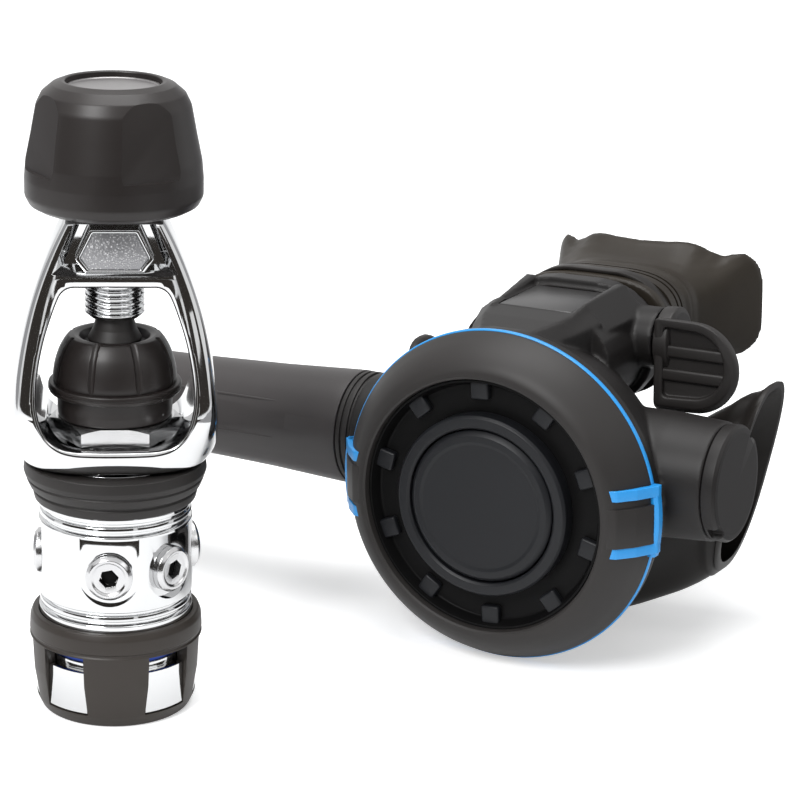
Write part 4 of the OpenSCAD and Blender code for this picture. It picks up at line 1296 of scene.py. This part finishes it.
@dataclass
class Case:
    """Case of the second stage with its barrel, lever and what is inside."""

    shop: Shop

    def build(self) -> None:
        """Models the case and all that is fixed to it or turns in it."""
        self.case()
        self.ends()
        self.lever()
        self.label()
        for node, finish in {"valve_tube": BRASS, "orifice": SATIN, "poppet": PALE,
                             "poppet_seat": SEAL, "poppet_spring": WIRE, "demand_lever": SATIN,
                             "lock_nut": SATIN, "exhaust_flap": SILICONE}.items():
            self.shop.dress(node, finish)

    @staticmethod
    def along_b(width: float, height: float, start: float, end: float, name: str = "oval"
                ) -> bpy.types.Object:
        """An oval bar along B, in the second stage's own frame."""
        obj = Bench.prism(name, oval(width, height), -end, -start)
        return Bench.move(obj, Matrix.Translation((0, 0, MOUTH_U)) @ spin(90, "X"))

    @staticmethod
    def across(name: str, rings: Sequence[tuple[float, Sequence[Point2]]]) -> bpy.types.Object:
        """A solid skinned over outlines in R and U, each at its own B."""
        return Bench.lofted(name, [[(r, b, u) for r, u in outline] for b, outline in rings])

    @staticmethod
    def along_r(profile: Sequence[Point2], b: float = BARREL_B, u: float = BARREL_U,
                steps: int = 96, name: str = "round") -> bpy.types.Object:
        """A turned piece along R, in the second stage's own frame."""
        obj = Bench.turned(name, profile, steps)
        return Bench.move(obj, Matrix.Translation((0, b, u)) @ spin(90, "Y"))

    def case(self) -> None:
        """Case fused from bowl, neck, barrel and lever boss, then hollowed."""
        lay = spin(-90, "X")
        bowl = Bench.move(Bench.turned("case_skin", [
            (0, 13.05), (46.9, 13.05), (47, 16.4), (45.8, 17.8), (44.6, 22), (43, 28),
            (40.8, 34.4), (37.4, 41.5), (33.6, 47), (27, 53.6), (21, 56.8), (16.8, 58),
            (0, 58)]), lay)
        parts = [
            bowl, self.along_b(46, 32, 34, 77), self.along_b(50.5, 36.5, 59.2, 65.4),
            self.along_r([(0, 8), (17.5, 8), (17.5, 43), (16.6, 56.9), (0, 56.9)]),
            self.along_r([(0, -51.9), (16.8, -51.9), (16.9, -10), (0, -10)]),
            self.along_r([(0, 6), (9.6, 8), (8.8, 14), (8.8, 27.5), (0, 27.5)], LEVER_B, LEVER_U),
            self.across("bridge", [
                (14.2, [(-11, 30), (11, 30), (11, 42.5), (7, 46.3), (-7, 46.3), (-11, 42.5)]),
                (25, [(-15, 30), (15, 30), (15, 44.0), (11.5, 47.8), (-11.5, 47.8), (-15, 44.0)]),
                (38, [(-19, 30), (19, 30), (19, 45.5), (14.5, 49), (-14.5, 49), (-19, 45.5)])]),
            self.across("fin", [
                (25.5, [(9.5, 40), (11.8, 46.9), (12.6, 47.1), (13.8, 44), (13.8, 40)]),
                (38, [(10.5, 40), (12.4, 50.0), (13.8, 50.3), (19.5, 43), (19.5, 40)]),
                (60, [(10.5, 40), (12.8, 51.4), (15.8, 51.4), (22.5, 44), (22.5, 40)])]),
            self.across("rail", [
                (32, [(-10.5, 40), (-11.8, 48.9), (-12.6, 49.0), (-15, 45), (-15, 40)]),
                (60, [(-10.5, 40), (-12.4, 51.2), (-15.4, 51.2), (-20, 45), (-20, 40)])]),
        ]
        spout = Bench.turned("spout", rod(12.5, -6, 9.9), 64)
        parts.append(Bench.move(spout, self.exhaust_place()))
        obj = Bench.join("case_skin", *parts)
        Bench.melt(obj, 0.55, 5)
        cavity = Bench.move(Bench.turned("cavity", [
            (0, 10), (38.6, 10), (38.6, 16), (40.4, 17), (41.4, 24), (38.4, 34), (32.4, 45),
            (25, 51.6), (16.4, 55), (0, 55)], 96), lay)
        Bench.carve(obj, cavity, self.along_b(40, 26, 36.6, 80),
                    self.along_r([(0, -60), (10.6, -60), (10.6, -46), (8.05, -46), (8.05, 40),
                                  (13.5, 40), (13.5, 60), (0, 60)]),
                    self.along_r(rod(2.55, 12, 40), LEVER_B, LEVER_U, 32),
                    Bench.block("pocket", (-11.3, 33.4, 47.9), (11.6, 58.0, 54), 0.5),
                    self.ring_groove(67.6, 68.6), self.ring_groove(71.0, 77.2, 1.3))
        spout = Bench.turned("spout", rod(9.5, -4, 14), 64)
        Bench.carve(obj, Bench.move(spout, self.exhaust_place()))
        self.shop.place(obj, CASE_SKIN, "second_stage", SECOND, ["case"], 40)
        self.spider()

    def ring_groove(self, start: float, end: float, depth: float = 0.8) -> bpy.types.Object:
        """A cutter for a groove round the neck."""
        groove = self.along_b(60, 46, start, end)
        Bench.carve(groove, self.along_b(46 - 2 * depth, 32 - 2 * depth, start - 2, end + 2))
        return groove

    @staticmethod
    def exhaust_place() -> Matrix:
        """Place of the exhaust valve, down and back from the bowl."""
        return Matrix.Translation((0, 43.4, -24.3)) @ spin(-135, "X")

    def spider(self) -> None:
        """Hub and six bars that carry the exhaust valve's flap."""
        hub = Bench.turned("exhaust_spider", [
            (1.35, 7.7, 0.2), (2.6, 7.7, 0.3), (2.6, 10, 0.2), (1.35, 10, 0.2)], steps=48)
        bars = []
        for angle in range(0, 360, 60):
            bar = Bench.block("bar", (2.2, -0.8, 8.1), (9.8, 0.8, 9.8), 0.2, 2)
            bars.append(Bench.move(bar, spin(angle)))
        self.shop.place(Bench.join("exhaust_spider", hub, *bars), PLASTIC, "second_stage",
                        SECOND @ self.exhaust_place())

    def ends(self) -> None:
        """Ring at the hose end of the barrel and the cap at its other end."""
        ring = Bench.turned("inlet_ring_skin", [
            (10.6, -56.3, 0.2), (16.7, -56.3, 0.3), (16.7, -55.0, 0.2), (16.1, -54.9, 0.1),
            (16.1, -54.3, 0.1), (16.7, -54.2, 0.2), (16.7, -52.8, 0.2), (16.1, -52.7, 0.1),
            (16.1, -52.1, 0.1), (10.6, -52.02, 0.1)], steps=96)
        self.shop.place(ring, RUBBER, "second_stage", about_r(), ["inlet_ring"])
        cap = Bench.turned("barrel_cap_skin", [
            (0, 58.5, 0), (10.5, 58.5, 0.2), (10.5, 51, 0.2), (13.4, 51, 0.2), (13.4, 57.05, 0),
            (16.2, 57.05, 0.3), (16.3, 60.2, 0.5), (15.6, 61.1, 0.5), (14.2, 61.3, 0.3),
            (0, 61.3, 0)])
        for side in (-1, 1):
            notch = Bench.block("notch", (-2.5, side * 16.3 - 2.4, 58),
                                (2.5, side * 16.3 + 2, 63), 0.5)
            Bench.carve(cap, Bench.move(notch, spin(45)))
        Bench.round_edges(cap, 0.2, 2, 50)
        self.shop.place(cap, CASE_SKIN, "second_stage", about_r(), ["barrel_cap"])

    def lever(self) -> None:
        """Flow lever: a hub and a D-shaped paddle with a raised rim and two ridges."""
        hub = Bench.turned("hub", [
            (2.6, 28.3, 0.1), (9.3, 28.3, 0.5), (9.5, 32.4, 0.7), (8.0, 33, 0.4), (0.01, 33, 0),
            (0.01, 32, 0), (2.6, 32, 0.1)], steps=96)
        Bench.move(hub, Matrix.Translation((0, LEVER_B, LEVER_U)) @ spin(90, "Y"))
        bow = [(40.3 + 13.2 * math.cos(t), 32 + 13.2 * math.sin(t))
               for t in (math.radians(-90 + 180 * i / 24) for i in range(25))]
        outline = soft_corners([(28.3, 18.7, 1.6), *[(x, u, 0) for x, u in bow],
                                (28.3, 45.3, 1.6)])
        paddle = Bench.lofted("flow_lever_skin", [
            [(40 + (x - 40) * scale, b, 32 + drop + (u - 32) * scale) for x, u in outline]
            for b, scale, drop in ((55.0, 0.96, -0.6), (54.0, 1.0, -0.6), (52.6, 1.0, -0.4),
                                   (51.0, 0.95, 0.6))])
        inner = [(31.4, 22.4),
                 *[(40.3 + (x - 40.3) * 0.72, 32.6 + (u - 32) * 0.74) for x, u in bow],
                 (31.4, 42.8)]
        Bench.carve(paddle, lying(49, 52.9, soft_corners([(x, u, 1.6 if x < 32 else 0)
                                                          for x, u in inner])))
        Bench.round_edges(paddle, 0.5, 3, 32)
        bars = [Bench.block("ridge", (30.6, 51.5, u - 1.7), (50.0, 54.0, u + 1.7), 0.7, 4)
                for u in (35.8, 29.0)]
        obj = Bench.join("flow_lever_skin", paddle, hub, *bars)
        self.shop.place(obj, RUBBER, "paddle", SECOND, ["flow_lever"], 40)
        self.shop.dress("lever_pin", SATIN)

    def label(self) -> None:
        """Bare plate in a pocket on the neck."""
        obj = Bench.block("label_plate_skin", (-11.1, 33.6, 47.95), (11.4, 57.8, 48.75), 0.3)
        self.shop.place(obj, LABEL, "second_stage", SECOND, ["label_plate"])


@dataclass
class Mouthpiece:
    """Silicone mouthpiece: a banded neck, a flared shield, two bite tabs, and its clamp.

    Each section is (b, half width, half height, bend, wave): how far the ends bend back with the
    shield and how far its wavy edge shows. The wave is the edge's rise by distance from its
    middle.
    """

    shop: Shop
    sections: tuple[tuple[float, ...], ...] = (
        (69.25, 24.5, 17.5, 0, 0), (71.0, 24.5, 17.5, 0, 0), (84.6, 24.3, 17.3, 0, 0),
        (85.6, 23.2, 16.2, 0, 0), (88.5, 22.6, 15.6, 0, 0), (91.5, 23.4, 16.4, 0, 0),
        (93.0, 23.0, 16.0, 0.05, 0), (95.5, 23.2, 15.9, 0.12, 0.1), (98.5, 25.4, 16.6, 0.35, 0.35),
        (101.2, 28.6, 17.8, 0.65, 0.65), (103.4, 31.6, 19.0, 0.9, 0.9), (104.8, 33.5, 20.0, 1, 1),
        (106.2, 33.9, 20.3, 1, 1), (107.3, 33.2, 19.7, 1, 1), (106.6, 29.6, 17.4, 0.9, 0.8),
        (107.0, 25.6, 15.4, 0.6, 0.4), (108.6, 21.8, 14.2, 0.3, 0))
    wave: tuple[Point2, ...] = (
        (0, 0.1), (6, 0.2), (13, 0.7), (17, 0.2), (21, -1.6), (24, -2.4), (27, -0.7), (29.5, 1.1),
        (34, 2.0))
    bend_r: float = 45
    around: int = 96

    def build(self) -> None:
        """Models the mouthpiece as one soft skin with an open bore."""
        solid = Case.along_b
        obj = Bench.lofted("mouthpiece_skin", [self.section(*row) for row in self.sections])
        tabs = [Bench.block("tab", (side * 23.5 - half, start, 24.5),
                            (side * 23.5 + half, 126, 41.5), 0.8)
                for half, start in ((2, 109), (3, 123.2)) for side in (-1, 1)]
        obj = Bench.join("mouthpiece_skin", obj, *tabs)
        Bench.melt(obj, 0.6, 3)
        for start, end, inner in ((71.9, 76.1, 0.0), (79.6, 80.6, 0.7), (82.2, 83.2, 0.7)):
            groove = solid(60, 46, start, end)
            Bench.carve(groove, solid(49.1 - 2 * inner, 35.1 - 2 * inner, 60, 90))
            Bench.carve(obj, groove)
        Bench.carve(obj, solid(46.2, 32.2, 60, 77.2), solid(39, 25, 60, 114))
        self.shop.place(obj, SILICONE, "second_stage", SECOND, ["mouthpiece"], 50)
        self.shop.refine("mouth_clamp", PLASTIC, "second_stage", 0.3, 40)

    def section(self, b: float, half_w: float, half_h: float, bend: float, wavy: float
                ) -> list[Point3]:
        """One ring of the skin.

        Args:
            b: Its place along B at the middle.
            half_w: Half its width.
            half_h: Half its height.
            bend: Share of the shield's bend that it takes.
            wavy: Share of the edge's wave that it takes.

        Returns:
            The ring's points.
        """
        out = []
        power = 0.62 - 0.10 * wavy
        for step in range(self.around):
            turn = math.tau * step / self.around
            across, high = math.cos(turn), math.sin(turn)
            r = boxy(across, power) * half_w
            rise = half_h + self.swell(abs(r)) * wavy * (1.0 if high > 0 else 0.45)
            if high < 0:
                rise -= 3.2 * wavy
            u = boxy(high, power) * rise
            back = self.bend_r - math.sqrt(self.bend_r ** 2 - min(abs(r), self.wave[-1][0]) ** 2)
            out.append((r, b + back * bend, MOUTH_U + u))
        return out

    def swell(self, r: float) -> float:
        """Height of the shield's wavy edge at a distance from its middle."""
        for (r0, h0), (r1, h1) in zip(self.wave, self.wave[1:]):
            if r <= r1:
                t = (r - r0) / (r1 - r0)
                t = t * t * (3 - 2 * t)
                return h0 + (h1 - h0) * t
        return self.wave[-1][1]


TEE_POWER = 0.76
TEE_AROUND = 48


@dataclass
class Exhaust:
    """Exhaust tee under the mouthpiece, open at both ends.

    Each row is (r, u) of its low edge, (r, u) of its high edge, and its front and back in b.
    """

    shop: Shop
    rows: tuple[tuple[float, ...], ...] = (
        (0, -46.2, 0, -16, 41, 72), (16, -45.4, 12, -12, 44, 74), (30, -41, 22, -2, 52, 80),
        (38, -37, 34, 10, 55.5, 84), (44, -32.4, 57.5, 24.5, 58, 86.5))
    beyond: tuple[float, ...] = (48, -34, 62, 26.4, 62, 87)
    wall: float = 1.8

    @staticmethod
    def ring(row: Sequence[float], side: int, wall: float) -> list[Point3]:
        """One ring of the tee from its low and high points and its depth."""
        r0, u0, r1, u1, b0, b1 = row
        way = Vector((side * (r1 - r0), 0, u1 - u0))
        half = way.length / 2 - wall
        way.normalize()
        out = []
        for step in range(TEE_AROUND):
            turn = math.tau * step / TEE_AROUND
            across, deep = math.cos(turn), math.sin(turn)
            a = boxy(across, TEE_POWER) * half
            d = boxy(deep, TEE_POWER) * ((b1 - b0) / 2 - wall)
            out.append((side * (r0 + r1) / 2 + a * way.x, (b0 + b1) / 2 + d,
                        (u0 + u1) / 2 + a * way.z))
        return out

    def between(self, part: float) -> tuple[float, ...]:
        """The row at a place from 0 at the middle to 4 at the mouth."""
        last = len(self.rows) - 1
        low = min(last - 1, int(part))
        t = part - low
        before, here = self.rows[max(low - 1, 0)], self.rows[low]
        there, after = self.rows[low + 1], self.rows[min(low + 2, last)]
        return tuple(
            q + t * ((r - p) + t * ((2 * p - 5 * q + 4 * r - s) + t * (3 * q - p - 3 * r + s))) / 2
            for p, q, r, s in zip(before, here, there, after))

    def build(self) -> None:
        """Models the tee as a hollow skin with a raised double line at each mouth."""
        marks = [(0.25 * i, 0.0) for i in range(1, 14)]
        marks += [(3.42, 0.0), (3.52, -0.55), (3.6, -0.55), (3.7, 0.1), (3.8, 0.1), (3.86, -0.6),
                  (3.92, -0.6), (3.97, -0.1), (4.0, 0.0)]
        outer = [self.ring(self.between(p), -1, grow) for p, grow in reversed(marks)]
        outer += [self.ring(self.between(0), 1, 0.0)]
        outer += [self.ring(self.between(p), 1, grow) for p, grow in marks]
        obj = Bench.lofted("exhaust_tee_skin", outer)
        inner = [(self.beyond, -1)]
        inner += [(self.between(0.5 * i), -1) for i in range(8, 0, -1)]
        inner += [(self.between(0.5 * i), 1) for i in range(9)]
        inner += [(self.beyond, 1)]
        Bench.carve(obj, Bench.lofted("inner", [self.ring(row, side, self.wall)
                                                for row, side in inner]))
        spout = Bench.turned("spout", rod(12.55, -4, 14), 64)
        bowl = Bench.turned("bowl", [
            (0, 12.8), (47.2, 12.8), (47.2, 16.5), (46, 17.6), (44.2, 24), (41.2, 34), (35.2, 46),
            (27.2, 54.2), (17.4, 58.2), (0, 58.2)], 96)
        Bench.move(bowl, spin(-90, "X"))
        barrel = Case.along_r(rod(17.7, -60, 60))
        Bench.carve(obj, Bench.move(spout, Case.exhaust_place()), bowl, barrel)
        Bench.round_edges(obj, 0.3, 2, 50)
        self.shop.place(obj, PLASTIC, "second_stage", SECOND, ["exhaust_tee"], 45)


# ---- studio --------------------------------------------------------------------------------


@dataclass(frozen=True)
class ViewPoint:
    """The camera."""

    at: Point3 = (0.0, -0.678, 0.2966)
    pitch: float = 17.35
    yaw: float = 6.27
    roll: float = 1.64
    lens: float = 122.3

    def build(self) -> None:
        """Adds the camera to the scene."""
        pitch, yaw, roll = (math.radians(v) for v in (self.pitch, self.yaw, self.roll))
        ahead = Vector((math.sin(yaw) * math.cos(pitch), math.cos(yaw) * math.cos(pitch),
                        -math.sin(pitch)))
        side = Vector((math.cos(yaw), -math.sin(yaw), 0))
        rise = side.cross(ahead)
        across = side * math.cos(roll) + rise * math.sin(roll)
        upward = rise * math.cos(roll) - side * math.sin(roll)
        data = bpy.data.cameras.new("camera")
        data.lens = self.lens
        data.sensor_width = 36
        data.clip_start, data.clip_end = 0.01, 20
        camera = bpy.data.objects.new("camera", data)
        bpy.context.scene.collection.objects.link(camera)
        turn = Matrix((across, upward, -ahead)).transposed().to_4x4()
        camera.matrix_world = Matrix.Translation(self.at) @ turn
        bpy.context.scene.camera = camera


@dataclass
class Studio:
    """Floor, sky, soft lights and the cards that only reflections see."""

    dark: Point3 = (0.045, 0.040, 0.036)
    grey: Point3 = (0.42, 0.42, 0.43)
    turns: tuple[int, ...] = (-58, 0, 58)
    far: float = 1.28

    def build(self) -> None:
        """Sets up a white product studio with dark and grey cards for the metal to reflect."""
        self.sky()
        self.floor()
        self.light("key", (-0.55, -0.75, 0.95), (0.02, 0.0, 0.06), 0.5, 0.5, 12.5)
        self.light("fill", (0.85, -0.55, 0.55), (0.05, 0.02, 0.06), 0.45, 0.6, 0.8)
        self.light("top", (0.05, 0.1, 1.1), (0.05, 0.03, 0.05), 0.8, 0.6, 8.5)
        self.card("card_low", (0.0, -0.80, 0.002), (0.0, -0.80, 1.0), 0.7, 0.98, self.dark)
        for turn in self.turns:
            way = Vector((math.sin(math.radians(turn)), -math.cos(math.radians(turn)), 0.0))
            height, lift = (0.62, 0.30) if turn else (0.72, 0.34)
            self.card(f"card_{turn + 58}", tuple(way * self.far + Vector((0, 0, lift))),
                      (0.0, 0.0, 0.1), 1.26, height, self.dark)
        self.card("card_floor", (0.46, 0.12, 0.003), (0.46, 0.12, 1.0), 0.5, 0.9, self.grey)
        for name, x, y in (("card_left", -0.42, 0.22), ("card_right", 0.36, 0.42)):
            self.card(name, (x, y, 0.20), (0.0, 0.0, 0.09), 0.34, 0.5, self.grey)

    @staticmethod
    def sky() -> None:
        """White for the camera and for reflections, softer for the rest."""
        world = bpy.data.worlds.new("sky")
        bpy.context.scene.world = world
        world.use_nodes = True
        nodes, links = world.node_tree.nodes, world.node_tree.links
        nodes.clear()
        out = nodes.new("ShaderNodeOutputWorld")
        path = nodes.new("ShaderNodeLightPath")
        bright, soft = nodes.new("ShaderNodeBackground"), nodes.new("ShaderNodeBackground")
        bright.inputs["Color"].default_value = (1, 1, 1, 1)
        bright.inputs["Strength"].default_value = 1.0
        soft.inputs["Color"].default_value = (0.96, 0.98, 1.0, 1)
        soft.inputs["Strength"].default_value = 0.45
        blend = nodes.new("ShaderNodeMixShader")
        either = nodes.new("ShaderNodeMath")
        either.operation = "MAXIMUM"
        links.new(path.outputs["Is Camera Ray"], either.inputs[0])
        links.new(path.outputs["Is Glossy Ray"], either.inputs[1])
        links.new(either.outputs[0], blend.inputs[0])
        links.new(soft.outputs[0], blend.inputs[1])
        links.new(bright.outputs[0], blend.inputs[2])
        links.new(blend.outputs[0], out.inputs["Surface"])

    @staticmethod
    def floor() -> None:
        """Pale floor that keeps the shadows and is white away from them."""
        Bench.fresh()
        bpy.ops.mesh.primitive_plane_add(size=6.0, location=(0, 0, 0))
        plane = bpy.context.object
        plane.name = "floor"
        tree = Recipe("floor_white")
        seen = tree.add("ShaderNodeLightPath", {}, {}, "Is Camera Ray")
        mirrored = tree.add("ShaderNodeLightPath", {}, {}, "Is Glossy Ray")
        pale = tree.add("ShaderNodeBsdfDiffuse", {}, {"Color": (0.92, 0.92, 0.92)})
        lift = tree.add("ShaderNodeEmission", {}, {
            "Color": (1.0, 1.0, 1.0), "Strength": (seen + mirrored * 0.4).clamped() * 0.45})
        both = tree.add("ShaderNodeAddShader", {}, {0: pale, 1: lift})
        tree.links.new(both.socket, tree.output.inputs["Surface"])
        plane.data.materials.append(tree.material)

    @staticmethod
    def aimed(obj: bpy.types.Object, at: Point3, target: Point3) -> None:
        """Puts obj at a place with its -Z towards target."""
        bpy.context.scene.collection.objects.link(obj)
        obj.location = at
        obj.rotation_mode = "QUATERNION"
        obj.rotation_quaternion = (Vector(target) - Vector(at)).to_track_quat("-Z", "Y")

    def light(self, name: str, at: Point3, target: Point3, width: float, height: float,
              watts: float) -> None:
        """Adds a soft area light.

        Args:
            name: Its name.
            at: Its place.
            target: Point that it faces.
            width: Its width, in metres.
            height: Its height, in metres.
            watts: Its power.
        """
        data = bpy.data.lights.new(name, "AREA")
        data.shape = "RECTANGLE"
        data.size, data.size_y, data.energy = width, height, watts
        self.aimed(bpy.data.objects.new(name, data), at, target)

    def card(self, name: str, at: Point3, target: Point3, width: float, height: float,
             colour: Point3) -> None:
        """Adds a card of one colour that only reflections see.

        Args:
            name: Its name.
            at: Its place.
            target: Point that it faces.
            width: Its width, in metres.
            height: Its height, in metres.
            colour: Its colour.
        """
        Bench.fresh()
        bpy.ops.mesh.primitive_plane_add(size=1.0)
        plane = bpy.context.object
        plane.name = name
        plane.scale = (width, height, 1)
        bpy.ops.object.transform_apply(location=False, rotation=False, scale=True)
        for owner in list(plane.users_collection):
            owner.objects.unlink(plane)
        self.aimed(plane, at, target)
        tree = Recipe(name)
        glow = tree.add("ShaderNodeEmission", {}, {"Color": colour, "Strength": 1.0})
        tree.links.new(glow.socket, tree.output.inputs["Surface"])
        plane.data.materials.append(tree.material)
        plane.visible_camera = False
        plane.visible_diffuse = False
        plane.visible_shadow = False


@dataclass
class Assembly:
    """The whole set in its studio."""

    frame: dict[str, Any]

    def build(self) -> None:
        """Camera and hose first, then every sub-assembly and the studio."""
        shop = Shop(self.frame)
        ViewPoint().build()
        for part in (HoseLine(shop), FirstStage(shop), YokeClamp(shop), Cover(shop), Case(shop),
                     Mouthpiece(shop), Exhaust(shop), Studio()):
            part.build()
            log.info("%s done", type(part).__name__)
        bpy.context.scene.view_settings.view_transform = "Standard"
        log.info("%d pieces", shop.count)


def main() -> None:
    """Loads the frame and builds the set."""
    logging.basicConfig(level=logging.INFO, format="%(name)s: %(message)s")
    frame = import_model()
    Assembly(frame).build()


if __name__ == "__main__":
    main()
